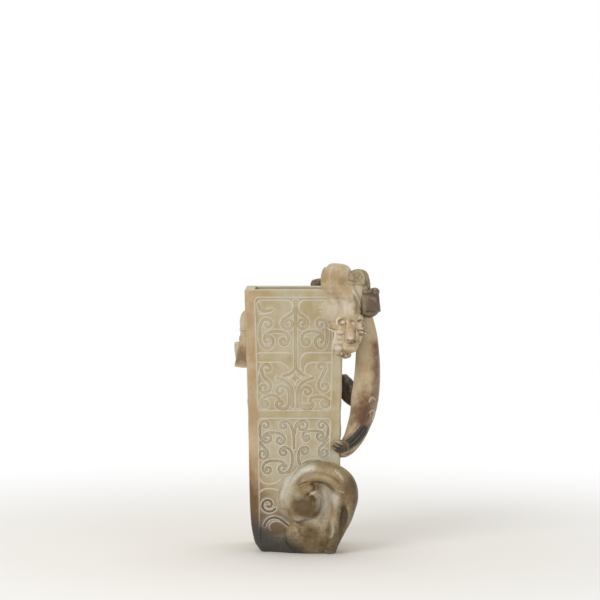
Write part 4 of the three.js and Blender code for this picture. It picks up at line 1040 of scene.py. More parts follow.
def haunchForms():
    # A rounded haunch lapping over the corner of the rim, the back along the right rim, and the neck
    # that runs down to the head.
    haunch = [
        (62, -60, 350.5, 9, 13), (64.5, -60, 353, 14, 16), (61.5, -59, 359, 19, 18),
        (59.5, -58, 366, 21.5, 19.5), (58, -57, 375, 22, 20), (58.5, -56, 384, 21.5, 19),
        (60.5, -55.5, 391, 19, 17), (61.2, -55, 396.4, 14.5, 13),
    ]
    back = [(66, -46, 381, 13, 14), (68, -32, 382, 12, 12), (68, -12, 380, 11, 11), (64, 6, 375, 8, 9)]
    neck = [
        (68, -62, 368, 15, 13), (72, -68, 357, 14.5, 14), (75, -74, 347, 13.5, 14.5), (76, -79, 336, 13, 14),
        (76, -82, 324, 13.5, 14), (75, -82, 308, 14, 13), (74, -80, 298, 12, 11),
    ]
    nape = [(86, -58, 370, 10, 12), (88, -58, 358, 9, 12), (89, -58, 346, 7, 11), (90, -58, 334, 5, 9)]
    shoulder = [
        (32, -63.5, 339, 10, 2.5), (44, -65, 338, 16, 4.5), (55, -67, 337, 20, 7.5),
        (65, -70, 334, 22, 10),
    ]
    return [
        carried(haunch, (1, 0, 0), squareness=2.6, domes=(0.5, 0.3)),
        carried(back, (1, 0, 0), squareness=2.2),
        carried(neck, (1, 0, 0), squareness=2.3),
        carried(nape, (1, 0, 0), squareness=2.4),
        carried(shoulder, (0, 0, 1), squareness=2.0),
        dome((60, -66, 349), (14, 10, 9)),
    ]


napeRidge = [(80, 364), (86, 355), (90, 344.5), (93, 337)]
# A carving's work: lattice and rounds of smoothing in which its forms fuse, size and spread of
# the hand's unevenness, tool marks as course, width and rise, and stains as spots or lines; on
# some carvings these spots and lines also paint highlights, light and shade.
haunchWork = {
    "node": "dragon_body", "slot": "pale_stone", "stone": "pale",
    "lattice": 0.6, "softness": 12, "wave": (0.35, 8, 1.0),
    "touches": [
        ([(40, 366), (48, 357.5), (56, 352), (66, 349.5), (76, 346.5), (81, 342)], 4.0, -1.3),
        ([(61.6, 347), (61.4, 338), (61, 329)], 1.8, -1.3),
        ([(67, 346), (68, 337), (67.5, 329)], 2.6, 0.8), (napeRidge, 1.4, 1.1),
        ([(50, 398), (48, 380), (51, 362)], 3.0, 0.7), ([(62, 400), (63, 384), (64, 362)], 3.2, 0.6),
        ([(56, 398), (55.5, 380), (58, 360)], 2.0, -0.6), ([(69, 396), (70, 382), (70, 366)], 2.2, -0.5),
        ([(42, 384), (43, 374), (46, 366)], 2.2, -0.5), ([(39, 378), (58, 372), (76, 376)], 2.6, -0.45),
        ([(48, 347), (49, 338), (50, 326)], 2.2, -0.5), ([(54.5, 350), (55, 338), (55.5, 326)], 2.4, 0.5),
        ([(73, 346), (73.5, 337), (73, 330)], 1.8, -0.6), ([(79, 344), (80, 336), (79.5, 330)], 2.2, 0.8),
    ],
    "brown": [
        (63.5, -78, 378, 7, 14, 12, 0.55), (55, -78, 357, 16, 10, 6, 0.45),
        (42, -74, 380, 5, 14, 18, 0.35), (52, -74, 372, 4, 12, 14, 0.3), (70, -74, 362, 6, 12, 10, 0.3),
    ],
    "pale": [
        (72, -84, 338, 8, 16, 12, 0.55), (76, -46, 393, 6, 30, 9, 0.85), (48, -68, 336, 18, 12, 18, 0.42),
        (86, -64, 362, 8, 14, 7, 0.6), (62, -80, 334, 12, 12, 14, 0.4), (50, -78, 391, 7, 14, 5, 0.3),
    ],
    "brownLines": [
        # Brown stripe down the right of the neck: brown stain and painted shade.
        ([(82.5, 357), (84.5, 347), (84, 334)], 4.2, 0.7),
        # Painted shadow: the brown line along the underside of the haunch.
        ([(40, 368), (46, 360.5), (54, 356), (66, 354.5), (78, 349)], 4.0, 0.4),
    ],
    "paleLines": [(napeRidge, 1.6, 0.9)],
}
makeCarving("dragonHaunch", haunchForms(), haunchWork)


def headForms():
    # Beast's mask on a blocky skull: a brow that curls round the left eye, a short broad snout, a
    # curled cheek and chin, a shallow mouth over a lobed beard, a ring ear and a leaf ear.
    skull = [
        (70, -82, 276, 6, 8), (66.6, -83, 283, 11, 13), (66.5, -84, 289, 13.5, 16),
        (68, -84, 297, 15, 17.5), (69.5, -84, 306, 15.5, 17.5), (70, -84, 316, 15.5, 17),
        (70, -83, 325, 13.5, 14), (71, -82, 331, 10, 10),
    ]
    snout = [
        (73, -95, 327, 3.6, 5), (73.4, -98, 319, 3.8, 5), (74.6, -99.5, 310, 5.4, 5.4),
        (75.8, -100.5, 302.6, 7.4, 5.0),
    ]
    leaf = [
        (87, -86, 307, 3.4, 5), (91.5, -88, 307.4, 4.6, 5), (96.5, -88, 305.8, 4.0, 4.5),
        (101, -86, 303, 1.5, 2.5),
    ]
    browCurl = [(65, -99, 328.6), (60.4, -99, 327), (57.8, -98.4, 323), (58.6, -98, 318), (61, -98, 316)]
    earRoot = [(86, -80, 326, 8, 12), (87, -80, 312, 8, 13), (85, -80, 298, 7, 12), (80, -80, 288, 6, 9)]
    ring = np.linspace(-2.6, 1.9, 14)
    earRing = np.column_stack([90.9 + 4.4 * np.cos(ring), np.full(14, -92.0), 317.2 + 5.2 * np.sin(ring)])
    return [
        carried(skull, (1, 0, 0), squareness=2.9),
        tube(browCurl, 1.9),  # brow round the left eye
        tube([(74, -98.5, 328), (80, -96, 326), (85, -92, 322)], 2.6),  # right brow
        dome((66, -98.6, 321.6), (3.4, 4.4, 2.4)),  # left eye
        dome((79.6, -96.4, 320), (3.4, 3.8, 2.6)),  # right eye
        carried(snout, (1, 0, 0), squareness=2.4),
        dome((76.6, -103.4, 301.4), (4.6, 3.6, 3.6)),  # tip of the nose and its wings
        dome((71.6, -101, 301), (2.8, 3.4, 3.0)),
        dome((80.4, -99.6, 300.6), (2.6, 3.4, 3.0)),
        tube([(57, -96.5, 313), (62, -99.5, 315.2), (68.5, -101, 318)], 1.7),  # lower lid
        dome((63.4, -98, 308.6), (6.2, 5.2, 4.6)),  # three rolls of the left cheek
        dome((61.6, -98.2, 301.4), (5.2, 5.0, 3.8)),
        dome((62.4, -98.0, 294.6), (4.6, 4.8, 3.2)),
        dome((84, -93, 303), (4.4, 8, 9)),  # right cheek
        dome((60.6, -97, 286.4), (6.6, 6.2, 5.4)),  # curled chin, and the jaw beside it
        dome((69, -97.4, 287), (4.6, 5.4, 3.6)),
        dome((77.6, -95.6, 286.6), (6.4, 6.0, 4.4)),
        dome((84, -90.5, 292), (4.6, 8, 8.4)),
        dome((66, -92, 280), (11.2, 8.4, 5.6)),  # beard
        dome((71, -91.4, 276.6), (6.8, 7, 4.8)),
        dome((73, -94, 286), (13, 7, 7)),
        dome((75, -95.6, 292), (9.4, 6, 5)),
        tube([(59, -94, 317), (52, -90, 316), (45.5, -84, 314)], 5.0, taper=(1, 0.35), flat=0.7),  # left ear
        tube([(46, -84, 312), (52, -89, 309.6), (56.4, -93, 308.6)], 1.5),
        tube([(56.2, -93, 308.6), (55, -95, 300), (53.4, -93.5, 291), (52.8, -90, 284)], 1.8),
        tube(earRing, 1.5),  # ring ear over its ground
        dome((89, -84, 317), (6, 6, 7)),
        carried(leaf, (0, 0, 1), squareness=2.2),  # leaf ear with two beads
        dome((92.7, -92.4, 307.2), (1.5, 1.8, 1.3)),
        dome((96.9, -91.6, 306.0), (1.4, 1.8, 1.2)),
        carried(earRoot, (1, 0, 0), squareness=2.6),
    ]


cheekCurl = spiralPoints((62.2, 301.6), (66.4, 299.6), 1.1, 40, 0.2)
chinCurl = spiralPoints((60.2, 286.4), (65.6, 284.4), 1.1, 40, 0.2)
headWork = {
    "node": "dragon_head", "slot": "pale_stone", "stone": "head",
    "lattice": 0.45, "softness": 3.2, "wave": (0.25, 4, 7.0),
    "touches": [
        ([(61.6, 325), (61.2, 321.5), (62.6, 318.6), (66.6, 318.2), (70.4, 319.6)], 1.1, -0.6),
        ([(63, 325.4), (68, 325.4)], 1.0, -0.4), ([(70.2, 325), (70.6, 317), (70.4, 311)], 0.9, -0.6),
        ([(71, 313.4), (74.5, 314.6), (78.5, 313.4)], 1.0, -0.6),
        ([(70.6, 309.4), (74.8, 310.6), (79.4, 309.4)], 1.0, -0.6),
        ([(76, 323), (80, 323.4), (84, 321.4)], 1.0, -0.7),
        ([(76.5, 317), (80.2, 316.4), (84.5, 317.6)], 1.0, -0.7),
        ([(81.6, 314), (82.6, 308), (82.4, 301)], 1.3, -1.0),
        ([(58, 306), (62, 304.8), (67.4, 305.6)], 1.0, -1.0),
        ([(57.4, 298.2), (61.6, 297.4), (66.8, 298)], 1.0, -1.0), (cheekCurl, 0.7, -0.6),
        (chinCurl, 0.8, -0.6), ([(69.4, 308), (69, 303), (68.2, 296)], 1.2, -1.2),
        ([(67.6, 294.2), (72, 293.4), (77, 293.8), (82, 295.6)], 1.6, -0.9),
        ([(55.6, 291.4), (61, 291.8), (66, 291)], 1.0, -1.0),
        ([(64.8, 290), (65.2, 286), (64.4, 282)], 0.9, -0.7),
        ([(57, 282.6), (63, 283.6), (70, 282.4), (79, 281.4)], 1.1, -0.8),
        ([(60.4, 281), (62.4, 278), (66, 279.6)], 0.9, -0.5),
        ([(66, 279.6), (68, 276), (72, 278.6)], 0.9, -0.5),
        ([(72, 278.6), (74, 276), (77.4, 278)], 0.9, -0.5),
        ([(88, 304.8), (94, 303.4), (100, 301.8)], 1.1, -1.6), ([(92, 316.8), (88.6, 315.4)], 1.6, -0.6),
    ],
    "brown": [
        (74, -100, 294, 8, 10, 4.0, 0.55), (68, -98, 277.4, 12, 14, 4.8, 1.0),
        (66, -98, 283, 12, 14, 3, 0.3), (77, -98, 292, 4, 10, 3, 0.4), (70, -104, 329, 9, 8, 2.6, 0.3),
        # Painted shade: the spots at (85, 300), (77, 322) and (84, 286) darken the right cheek, right eye
        # and right jaw, the side turned from the light.
        (96, -92, 305.6, 7, 6, 3.4, 0.85), (85, -92, 300, 5, 12, 14, 0.55),
        (52, -92, 316.5, 7, 8, 3.6, 0.4), (77, -96, 322, 6, 6, 3, 0.25), (84, -88, 286, 6, 12, 6, 0.35),
    ],
    "pale": [
        (66.4, -103, 321.8, 3.0, 5, 1.8, 1.1), (58, -98, 302, 6, 14, 15, 0.45),
        (76, -106, 300.4, 3.6, 4, 1.8, 1.0), (59, -103, 286.4, 6, 8, 4.6, 0.5),
        (90, -92, 317, 2.4, 8, 3.2, 0.75), (92.7, -95, 307.2, 1.2, 3, 1.0, 1.5),
        (96.9, -94, 306, 1.1, 3, 1.0, 1.5), (63, -103, 309, 5, 6, 3, 0.35),
        (64, -100, 278.6, 1.6, 6, 1.2, 0.7), (70, -100, 276.4, 1.5, 6, 1.4, 0.8),
        (74.6, -98, 277.6, 1.3, 6, 1.2, 0.6), (80, -100, 319.6, 2, 6, 1.6, 0.4),
    ],
    "brownLines": [
        ([(82.4, 314), (82.8, 307), (81.6, 300)], 1.8, 0.6),
        ([(87, 323), (91, 323.4), (95, 319.4), (95, 313.4)], 1.7, 1.2),
        ([(48, 313.5), (54, 311.6), (59, 311.8)], 2.0, 0.55),
        ([(61.6, 318.4), (66.5, 318), (70.4, 319.4)], 1.1, 0.6), (cheekCurl, 0.8, 0.3),
        (chinCurl, 0.8, 0.3), ([(86, 310.4), (93, 310.4), (101, 304.6)], 1.1, 1.0),
        ([(70.6, 298), (76, 297), (81, 298.4)], 1.0, 0.7),
        ([(58, 306), (62, 304.8), (67, 305.6)], 0.9, 0.4),
    ],
    "paleLines": [
        ([(56, 309), (54.8, 300), (53.2, 291), (52.6, 284)], 1.4, 0.9),
        ([(61, 328), (57.8, 324.4), (57.8, 319)], 1.3, 0.9),
        ([(71.4, 325), (71.8, 318), (71.4, 311)], 1.0, 0.6),
        ([(45.6, 312.4), (52, 309.8), (57, 308.8), (62, 314.4)], 0.9, 0.9),
    ],
}
makeCarving("dragonHead", headForms(), headWork)


def tuftForms():
    # Coiled lock of the mane: a thick roll whose scroll end faces forward, over a curled lower lip.
    scroll = [
        (87.5, -68, 380.5, 11.5, 10.5), (88, -62, 380, 13.2, 12.6), (88, -50, 379.5, 13.4, 12.8),
        (88, -38, 378, 11, 11),
    ]
    outer = [
        (97, -62, 386, 3, 6), (99, -58, 380, 3.6, 9), (100.5, -55, 372, 4.0, 10), (101, -53, 366, 3.4, 9),
    ]
    return [
        carried(scroll, (1, 0, 0), squareness=2.4, domes=(0.35, 0.5)),
        dome((76, -66, 373.5), (6.5, 7, 4)),
        dome((96.5, -60, 366.5), (6, 8, 7)),
        carried(outer, (1, 0, 0), squareness=2.6),
        dome((78, -64, 380), (7, 10, 8)),
    ]


rollEdge = [(92.8, 391), (97.2, 385), (97.6, 373.6)]
pits = [
    (85, 382), (88.5, 384), (84.4, 377.6), (79.5, 377.6), (92.8, 382), (82, 385.5), (87.5, 379.4),
    (90, 386.8),
]
tuftWork = {
    "node": "dragon_tuft", "slot": "pale_stone", "stone": "tuft",
    "lattice": 0.5, "softness": 4, "wave": (0.25, 5, 2.0),
    "touches": [
        ([(78, 375.8), (84, 374.8), (89.5, 376.6), (93.4, 381)], 1.3, -0.9),
        ([(72, 374.6), (78, 374.2), (84, 372.6)], 1.1, 1.1), (rollEdge, 1.1, -1.5),
        ([(99.2, 386), (100.6, 378), (101, 370)], 0.8, -0.9), *dots(pits, 1.2, -0.8),
    ],
    "brown": [
        (86, -76, 383, 9, 8, 7, 0.35), (99, -60, 378, 5, 20, 14, 0.5), (86, -72, 366, 14, 12, 3, 0.3),
    ],
    "brownLines": [(rollEdge, 1.3, 0.6), *dots(pits, 1.4, 0.4)],
    "paleLines": [([(70.6, 375), (75, 375.2), (80, 373.8)], 1.3, 0.8)],
}
makeCarving("coiledLock", tuftForms(), tuftWork)


def crestForms():
    # Squared crest like a clenched fist: a bulging block, a knob at its top right corner, a lobe at
    # its top left and a bevelled left side.
    block = [
        (103.4, -55.5, 335.5, 15.2, 14), (103.8, -55, 342, 14.2, 16), (104, -54, 351, 12.8, 16.5),
        (103.5, -53, 359, 12, 15), (103, -53, 362.5, 10, 12),
    ]
    foot = [
        (93, -56, 333.5, 12, 5), (101, -56, 331.5, 13, 6), (109, -55.5, 333.5, 13, 5.5),
        (114.6, -55, 337.5, 12, 3.4),
    ]
    bevel = [(93.5, -62, 358, 4, 7), (94, -63, 345, 5, 8), (94.5, -61, 332, 4, 7)]
    return [
        carried(block, (1, 0, 0), squareness=5.0, domes=(0.15, 0.25)),
        carried(foot, (0, 1, 0)),
        dome((110.2, -57, 361), (6.8, 14, 6.4)),
        dome((103, -57, 361.5), (9, 13, 4.6)),
        dome((97, -59, 361.5), (6.8, 12, 5.2)),
        carried(bevel, (1, 0, 0), squareness=2.4),
    ]


crestWork = {
    # The dark stone gives the crest its dark stain and, in part, painted shade.
    "node": "dragon_crest", "slot": "dark_stone", "stone": "dark",
    "lattice": 0.6, "softness": 3, "wave": (0.45, 7, 3.0),
    "touches": [
        ([(104.5, 366), (104.8, 360), (112, 355.4), (117, 356)], 1.6, -0.5),
        ([(92, 358), (99, 356.4), (104.5, 359)], 1.6, -0.4),
        ([(98.5, 355), (98.5, 345), (99.5, 334)], 1.8, -0.9), ([(107, 352), (110, 349)], 3.2, 1.0),
    ],
    "paleLines": [
        ([(95, 354), (95, 342), (96, 334)], 5.0, 0.75), ([(93.5, 362), (100, 363)], 4.0, 0.45),
        # Painted highlight: the short pale line at (108, 353.6) to (111, 352) is a speck of light on the
        # crest's bulge.
        ([(104, 366.4), (112, 366)], 1.8, 0.3), ([(108, 353.6), (111, 352)], 1.6, 0.5),
    ],
}
makeCarving("squaredCrest", crestForms(), crestWork)


handleShape = {
    "steps": 420,
    "sides": 150,
    "squareness": 2.1,
    "ridgePlace": 0.28,    # where the ridge runs, right of the middle, as a share of half the width
    "ridgeRise": 1.04,     # how far it stands out, as a share of half the depth
    "facetFall": 0.22,     # how far a facet falls off softly from it
    "edgeFall": 0.8,       # and how far it rounds over at its edge
    "ridgeStart": (0.12, 0.42),  # shares of the course over which the oval turns into the ridge
    "ridgeEnd": (0.7, 0.9),      # and over which it turns back
}
# Course of the mane's blade, which is the handle: x, y, z, half the width and half the depth.
maneCourse = [
    (97, -50, 334, 9, 11), (98.5, -51, 320, 11, 11.5), (100.3, -51.5, 299, 14, 12.5),
    (100.8, -51.5, 274, 16.4, 13), (100.6, -51.5, 250, 17.6, 13), (99.3, -51.5, 232, 18.6, 13),
    (96.8, -51.5, 212, 19, 12.5), (94.5, -51.5, 196, 17.6, 12), (90, -51.8, 180, 16, 11.8),
    (83.5, -52.5, 163.5, 14.2, 11.5), (76, -54, 151, 12.4, 11), (67.5, -56, 143.5, 11.4, 10.5),
    (60.5, -57.5, 140.5, 8.4, 9.5),
]


def handleSkin(name):
    # Section pinched to a ridge right of its middle, carried down the bowed course: the left facet
    # is broad and the right one steep.
    steps = round(handleShape["steps"] * fineness)
    sides = round(handleShape["sides"] * fineness)
    line = smoothCourse(maneCourse, steps)
    along = np.gradient(line[:, :3], axis=0)
    along /= np.linalg.norm(along, axis=1, keepdims=True)
    side = np.cross(along, (0.0, -1.0, 0.0))
    side /= np.linalg.norm(side, axis=1, keepdims=True)
    side *= np.sign(side[:, :1] + 1e-9)
    forward = np.cross(side, along)
    forward *= -np.sign(forward[:, 1:2] + 1e-9)
    angle = 2 * math.pi * np.arange(sides) / sides
    wide = powered(np.cos(angle), handleShape["squareness"])
    # Distance from the ridge line as a share of its facet gives the front's depth: a soft top that
    # falls off slowly and rounds over at the edge. High up the section eases back to a plain oval.
    ridge = handleShape["ridgePlace"]
    facet = np.where(wide < ridge, (ridge - wide) / (1 + ridge), (wide - ridge) / (1 - ridge))
    pinched = handleShape["ridgeRise"] - handleShape["facetFall"] * facet ** 1.4
    pinched -= handleShape["edgeFall"] * facet ** 4
    oval = np.abs(powered(np.sin(angle), handleShape["squareness"]))
    share = np.linspace(0, 1, steps)[:, None]
    sharp = smoothStep(share, *handleShape["ridgeStart"]) * (1 - smoothStep(share, *handleShape["ridgeEnd"]))
    deep = np.where(np.sin(angle) > 0, oval + sharp * (pinched - oval), -oval)
    sideways = side[:, None] * (wide * line[:, 3:4])[..., None]
    outwards = forward[:, None] * (deep * line[:, 4:5])[..., None]
    skin = meshFrom(name, *closedGrid(line[:, None, :3] + sideways + outwards))
    outward(skin)
    return addObject(name, skin)


# Locks at the handle's foot run down to its tip, inside a raised lip.
flameCurl = [(103, 210), (104.5, 214.5), (108, 216), (111, 213)]
lockCourses = [
    [(95, 173), (88, 163), (79, 154.5), (70, 149), (60, 146)],
    [(91, 176), (84, 167), (76, 159.5), (68, 154.5)],
    [(98, 168), (91, 157), (82, 149), (72, 143.5), (62, 140.5)], [(87, 178), (80, 169), (74, 163)],
]
darkCourse = [(95, 171), (88, 162), (79, 154.5), (70, 149), (59, 146)]
outerLip = [(106, 176), (100, 160), (91, 147), (81, 138.5), (70, 134), (62, 132.5)]
handleWork = {
    "node": "mane_handle", "slot": "handle_stone", "stone": "handle",
    "least": 0.0,  # the marks fade only where the surface faces sideways
    "wave": (0.3, 12, 4.0),
    "touches": [
        *[(course, 1.0, -1.2) for course in lockCourses], (outerLip, 2.0, 1.4),
        ([(98, 162), (90, 150.5), (80, 141.5), (70, 137)], 1.1, -1.3),
        ([(101.5, 190), (103.2, 195), (107, 197.5), (110.5, 195.5), (107, 184), (102.5, 178)], 0.8, -0.9),
        ([(104, 186), (106, 192)], 0.8, 0.7), (flameCurl, 0.8, 0.7),
    ],
    "brown": [(94, -64, 190, 20, 40, 24, 0.95), (100, -64, 222, 16, 40, 20, 0.5)],
    "brownLines": [
        # Brown line down the right edge of the blade: brown stain and painted shade on the side turned from
        # the light.
        ([(112, 288), (113, 262), (112.5, 240), (110, 218), (107, 198), (101, 180)], 10.0, 0.75),
        ([(90, 262), (88, 245)], 6.0, 0.25), (darkCourse, 9.0, 1.0), (outerLip, 5.0, 0.75),
    ],
    "paleLines": [
        ([(94, 326), (93, 300), (90, 276)], 8.0, 0.4),
        ([(85, 275), (84, 250), (83, 232), (81, 212)], 5.0, 0.35), (outerLip, 1.6, 0.35),
        ([(86, 163), (80, 157.6)], 0.9, 0.4), ([(82, 152), (74, 147)], 0.9, 0.3),
        ([(103.2, 195), (107, 198), (110.5, 195.5), (107, 184)], 0.9, 0.8), (flameCurl, 0.9, 0.6),
    ],
    "sootLines": [(darkCourse, 8.5, 1.3), ([(100, 202), (98, 194), (94, 184)], 8.0, 0.5)],
}
dress(handleSkin("maneHandle"), handleWork)


def pawForms():
    # Low claw round the wall's corner: three toes side by side, slanting down to a point.
    palm = [(70, -60, 148, 8, 8), (62, -63.5, 147.5, 8.5, 6.5), (55, -65.5, 148, 5, 3.5)]
    forms = [carried(palm, (0, 0, 1), squareness=2.2)]
    for toe in range(3):
        x = 60 - 2.6 * toe
        z = 156.5 - 4.2 * toe
        course = [(x + 8, -66, z - 6), (x + 2, -71, z - 2.5), (x - 3.5, -68.5, z)]
        forms.append(tube(course, 2.4, taper=(0.8, 0.7)))
    return forms


pawWork = {
    "node": "grip_paw", "slot": "dark_stone", "stone": "coil",
    "lattice": 0.5, "softness": 3,
    "brownLines": [([(68, 148), (60, 147), (54, 147)], 10.0, 1.0)],
    "sootLines": [([(70, 146), (60, 145)], 6.0, 1.0)],
    "pale": [(60, -72, 158, 5, 6, 3, 0.25)],
}
makeCarving("grippingPaw", pawForms(), pawWork)
print("large dragon done")


# Coiled tail at the foot

def coilForms():
    # The tail climbs the right side, swells round the corner into a hip, arches over the front and
    # curls inside as a comma-shaped lobe over a sunk, pitted ground.
    band = [
        (46, -50, 4, 14, 12), (51.5, -52, 16, 17, 11), (60.5, -54, 32, 19, 10), (69.5, -56, 48, 20, 9.5),
        (73, -58, 62, 22, 11), (74.5, -60, 78, 24.5, 13.5), (70.5, -63, 93, 25.5, 15.5),
        (61.5, -66, 104.5, 24, 15.5), (49, -68.5, 112, 21.5, 14.5), (34, -70, 115, 19, 13.5),
        (20, -70, 112, 17, 13), (9, -70, 103.5, 15, 12), (1, -70, 91.5, 14, 11),
        (-3.5, -70, 77, 14, 11.5), (0, -70, 65, 15, 13), (7, -70, 58, 15, 13),
    ]
    side = [
        (60, -46, 104, 14, 14), (69, -40, 88, 16, 15), (70, -36, 66, 15, 13), (63, -36, 42, 14, 11),
        (50, -38, 14, 12, 9),
    ]
    tip = [
        (20, -76, 62, 10, 10), (29, -78, 69, 9.5, 9), (32, -80, 78, 8, 6.6), (28.5, -81, 85, 6, 4.6),
        (23, -81, 86.5, 4, 2.6),
    ]
    inner = [
        (48, -58, 8, 14, 10), (54, -64, 26, 15, 8), (56, -69, 44, 14.5, 8), (58, -72, 62, 14, 9),
        (63, -72, 78, 14, 11),
    ]
    foot = [
        (26, -43, 0.5, 30, 17.5), (26, -44, 8, 30, 20), (28, -46, 20, 27, 22), (29, -49, 34, 25, 23.5),
        (30, -54, 52, 24, 23),
    ]
    wedge = [(-42, -41, 3, 12, 3), (-22, -43, 5, 17, 8), (-4, -46, 8, 22, 13), (18, -48, 10, 26, 16)]
    rim = [
        (26, -60, 121, 5, 6), (12, -60, 118, 6.5, 7), (0, -60, 108.5, 7, 8), (-9, -60, 95, 7.5, 8.5),
        (-14, -60, 80, 7.5, 8), (-15, -60, 66, 6, 7),
    ]
    return [
        carried(band, (0, 1, 0), steps=170, sides=60, squareness=2.5),
        carried(side, (0, 1, 0), steps=90, sides=50, squareness=2.4),
        carried(tip, (0, 1, 0), steps=70, sides=40, squareness=2.1),
        carried(inner, (0, 1, 0), steps=70, sides=40, squareness=2.2),
        carried(foot, (1, 0, 0), squareness=2.6, domes=(0, 0.6)),
        dome((13, -70, 68), (21, 18.5, 18.5), tilt=-14),
        dome((13, -73, 91), (14.5, 11.5, 9.5)),
        dome((7, -75.5, 80), (11, 13, 12)),
        carried(wedge, (0, 0, 1)),
        dome((38, -60, 70), (30, 19, 42)),
        dome((22, -56, 24), (36, 17, 27)),
        carried(rim, (0, 1, 0), steps=90, sides=36),
    ]


ledge = [(6, 97), (12, 100.2), (20, 101.6), (30.5, 101.4), (40, 98.8), (49, 93.4), (56, 86.5)]
pitted = [
    (40, 56), (37, 50), (42, 62), (33, 46), (44, 34), (40, 30), (50, 22), (30, 18), (46, 16), (36, 90),
    (41, 74), (43, 84), (38, 68), (45, 50), (35, 38), (24, 40), (14, 30), (20, 12), (38, 12), (52, 12),
]
coilWork = {
    "node": "foot_coil", "slot": "coil_stone", "stone": "coil",
    "restHeight": 0.3,  # flat where it rests
    "lattice": 0.8, "softness": 8, "wave": (0.3, 11, 5.0),
    "touches": [
        (ledge, 1.2, -1.5),
        ([(2, 97), (9, 109), (21, 114.5), (38, 114.5), (54, 107.5), (64, 98)], 3.0, -0.9),
        ([(12, 104), (22, 107.5), (36, 107), (48, 101.5)], 2.6, 0.6),
        ([(27, 95), (26.5, 90), (23.5, 86.5), (19.5, 84.5)], 1.8, -1.5),
        ([(67, 66), (70, 59), (70, 50), (67, 42)], 3.4, -2.4), ([(73, 66), (75, 54), (72, 42)], 1.6, 0.8),
        ([(50, 84), (49, 74), (48.5, 62), (50.5, 50), (53, 38), (51, 26)], 2.0, 0.8),
        ([(33, 94), (40, 88), (42.5, 78), (42, 66), (41.5, 54), (38, 45)], 5.0, -3.6),
        ([(4, 51), (14, 48.5), (26, 53), (34, 60), (39, 70), (38.5, 80)], 2.4, -1.6),
        ([(-8, 53), (-1, 44), (6, 34), (10, 26)], 1.5, -1.2),
        ([(22, 84), (28, 88.4), (34, 86), (37.4, 79), (38, 73)], 1.2, 1.0), *dots(pitted, 1.2, -0.8),
    ],
    "brown": [
        (86, -70, 78, 14, 40, 40, 0.85), (74, -80, 98, 13, 30, 14, 0.6), (64, -80, 58, 8, 40, 30, 0.8),
        (18, -86, 64, 22, 36, 18, 1.0), (30, -88, 71, 10, 30, 12, 0.7), (18, -80, 31, 20, 30, 12, 0.65),
        (62, -70, 20, 12, 34, 20, 0.9), (-7, -76, 60, 6, 20, 10, 0.4), (8, -84, 96, 8, 20, 8, 0.3),
        (48, -84, 34, 5, 20, 14, 0.3), (5, -84, 74, 9, 30, 12, 0.5), (50, -80, 8, 18, 30, 13, 0.8),
        (24, -80, 16, 22, 30, 14, 0.45),
    ],
    "pale": [
        # Painted highlights: the spot at (-9, 98) on the outer left of the arch and the spot at (55, 80) on
        # the inner face of the hip.
        (41, -78, 72, 6, 30, 26, 0.8), (-9, -68, 98, 9, 20, 20, 1.0), (55, -80, 80, 5, 30, 10, 1.1),
        (8, -80, 50, 12, 30, 4, 0.7), (30, -76, 46, 10, 30, 6, 0.4),
    ],
    "soot": [
        (-20, -60, -4, 36, 30, 36, 1.3), (34, -62, -8, 44, 40, 22, 0.4), (88, -60, 62, 10, 40, 40, 0.5),
        (69, -80, 50, 8, 40, 22, 0.7),
    ],
    "brownLines": [
        ([(4, 100), (10, 109), (21, 114.5), (38, 114.5), (54, 107.5), (64, 98)], 2.6, 0.5),
        (ledge, 0.9, 0.7), ([(20, 60), (29, 66), (33, 74)], 6.0, 0.9),
    ],
    "paleLines": [
        # Painted highlight: the pale line along the outer left of the arch, where it runs into the wall.
        ([(24, 122), (8, 117), (-5, 104), (-12, 92), (-16, 79)], 5.5, 1.0),
        ([(-16, 78), (-15, 64), (-8, 52), (0, 42)], 2.0, 0.6),
        ([(21, 83.5), (28, 88.6), (34, 86.6), (38, 79), (38.6, 72)], 1.3, 0.8),
        ([(48.5, 66), (48, 56), (51, 44), (52.5, 34), (49, 25)], 2.4, 0.45),
        # Painted highlight: the short pale line from (56, 118) to (65.5, 107) is a glint on the top right of
        # the arch.
        ([(56, 118), (61, 113), (65.5, 107)], 1.4, 0.8), ([(55, 89.6), (62, 89), (67, 88)], 1.0, 0.6),
    ],
}
makeCarving("coiledTail", coilForms(), coilWork)
print("coiled tail done")


# Small dragon on the left side

leftBack = [
    (-66, -34, 257.5, 17, 18), (-66, -34, 262, 16.5, 18), (-66, -33, 276, 13.5, 17),
    (-66, -31, 290, 11, 16), (-66, -30, 300, 9.5, 15), (-66, -33, 308, 9, 15), (-66, -36, 318, 10, 14),
    (-66, -37, 326, 8.6, 12), (-65, -38, 332, 6, 9),
]
leftForms = [
    carried(leftBack, (1, 0, 0), squareness=2.7, domes=(0.1, 0.4)),
    tube([(-68, -49.5, 309), (-75, -46, 308.5), (-75, -34, 308)], 1.2),
]
leftDragonWork = {
    "node": "left_dragon", "slot": "pale_stone", "stone": "pale",
    "lattice": 0.55, "softness": 5, "wave": (0.3, 8, 6.0),
    "brown": [(-76, -50, 272, 14, 20, 18, 0.8)],
    "pale": [(-76, -50, 322, 14, 20, 12, 0.4)],
}
makeCarving("leftDragon", leftForms, leftDragonWork)

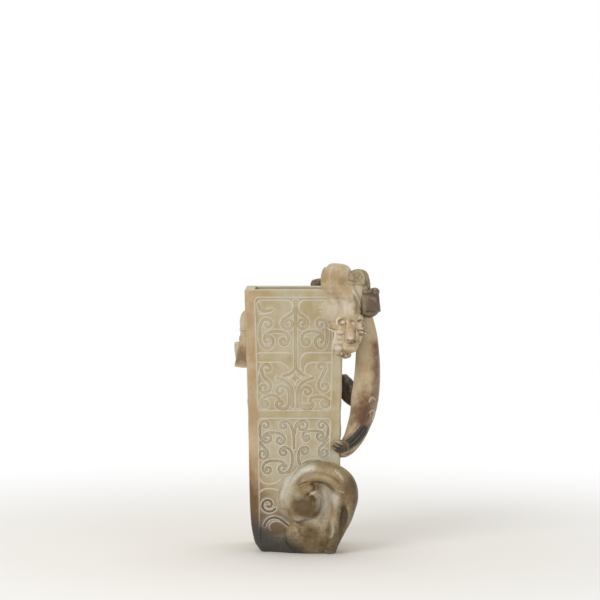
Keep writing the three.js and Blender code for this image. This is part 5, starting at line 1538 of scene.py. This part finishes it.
finCourse = [
    (-66, -15, 259, 14, 5), (-67, -15, 270, 15.5, 7), (-67.5, -15, 282, 16.5, 8), (-68, -15, 290, 16, 7),
]
finForms = [carried(finCourse, (1, 0, 0), squareness=3.0, domes=(0.3, 0.15))]
finWork = {
    "node": "left_fin", "slot": "pale_stone", "stone": "pale",
    "lattice": 0.55, "softness": 4,
    "brown": [(-80, -20, 262, 12, 14, 10, 0.3)],
    "pale": [(-78, -15, 282, 12, 14, 10, 0.55)],
}
makeCarving("leftFin", finForms, finWork)
print("left dragon done")


# Rear dragon

rearBack = [
    (28, 70, 366, 7, 8), (40, 72, 365, 9, 10), (52, 74, 353, 11, 11), (49, 73, 325, 12, 12),
    (38, 72, 299, 12, 12), (34, 71, 273, 11.5, 11.5), (42, 70, 249, 11, 11), (52, 69, 226, 10, 10),
    (58, 66, 208, 8.5, 8.5),
]
rearForms = [carried(rearBack, (1, 0, 0), steps=120, squareness=2.2)]
hanging = rearBack[:1:-1]
for scale in range(9):  # arched scales down the back
    z = 340 - 13 * scale
    x = np.interp(z, [station[2] for station in hanging], [station[0] for station in hanging])
    y = 79.5 if z > 230 else 77
    arch = [(x - 8, y - 1, z - 2), (x - 3, y + 2, z + 2), (x + 3, y + 2, z + 2), (x + 8, y - 1, z - 2)]
    rearForms.append(tube(arch, 2.0))
rearDragonWork = {
    "node": "rear_dragon_body", "slot": "dark_stone", "stone": "dark",
    "lattice": 0.6, "softness": 5,
}
makeCarving("rearDragon", rearForms, rearDragonWork)

limbCourse = [(60, 58, 225, 12, 14), (70, 54, 224, 12, 14), (80, 52, 209, 11, 13), (90, 51, 197, 8, 8.5)]
limbForms = [
    carried(limbCourse, (0, 1, 0), squareness=2.3),
    dome((72, 50, 232), (6, 10, 8)),
    dome((79, 47, 218), (6, 10, 7)),
    dome((86, 48, 203), (6, 9, 7)),
]
rearLimbWork = {
    "node": "rear_dragon_limb", "slot": "dark_stone", "stone": "dark",
    "lattice": 0.6, "softness": 5,
    # The brown and soot spots darken the whole limb.
    "brown": [(76, 52, 215, 30, 30, 40, 0.9)],
    "soot": [(76, 52, 215, 30, 30, 40, 0.6)],
}
makeCarving("rearLimb", limbForms, rearLimbWork)
print("rear dragon done")


# The dowels stay as they are, inside their sockets.
for name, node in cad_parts.items():
    if name.endswith("_dowel"):
        node.data.materials.clear()
        node.data.materials.append(materials["dowel"])
print("dowels finished")
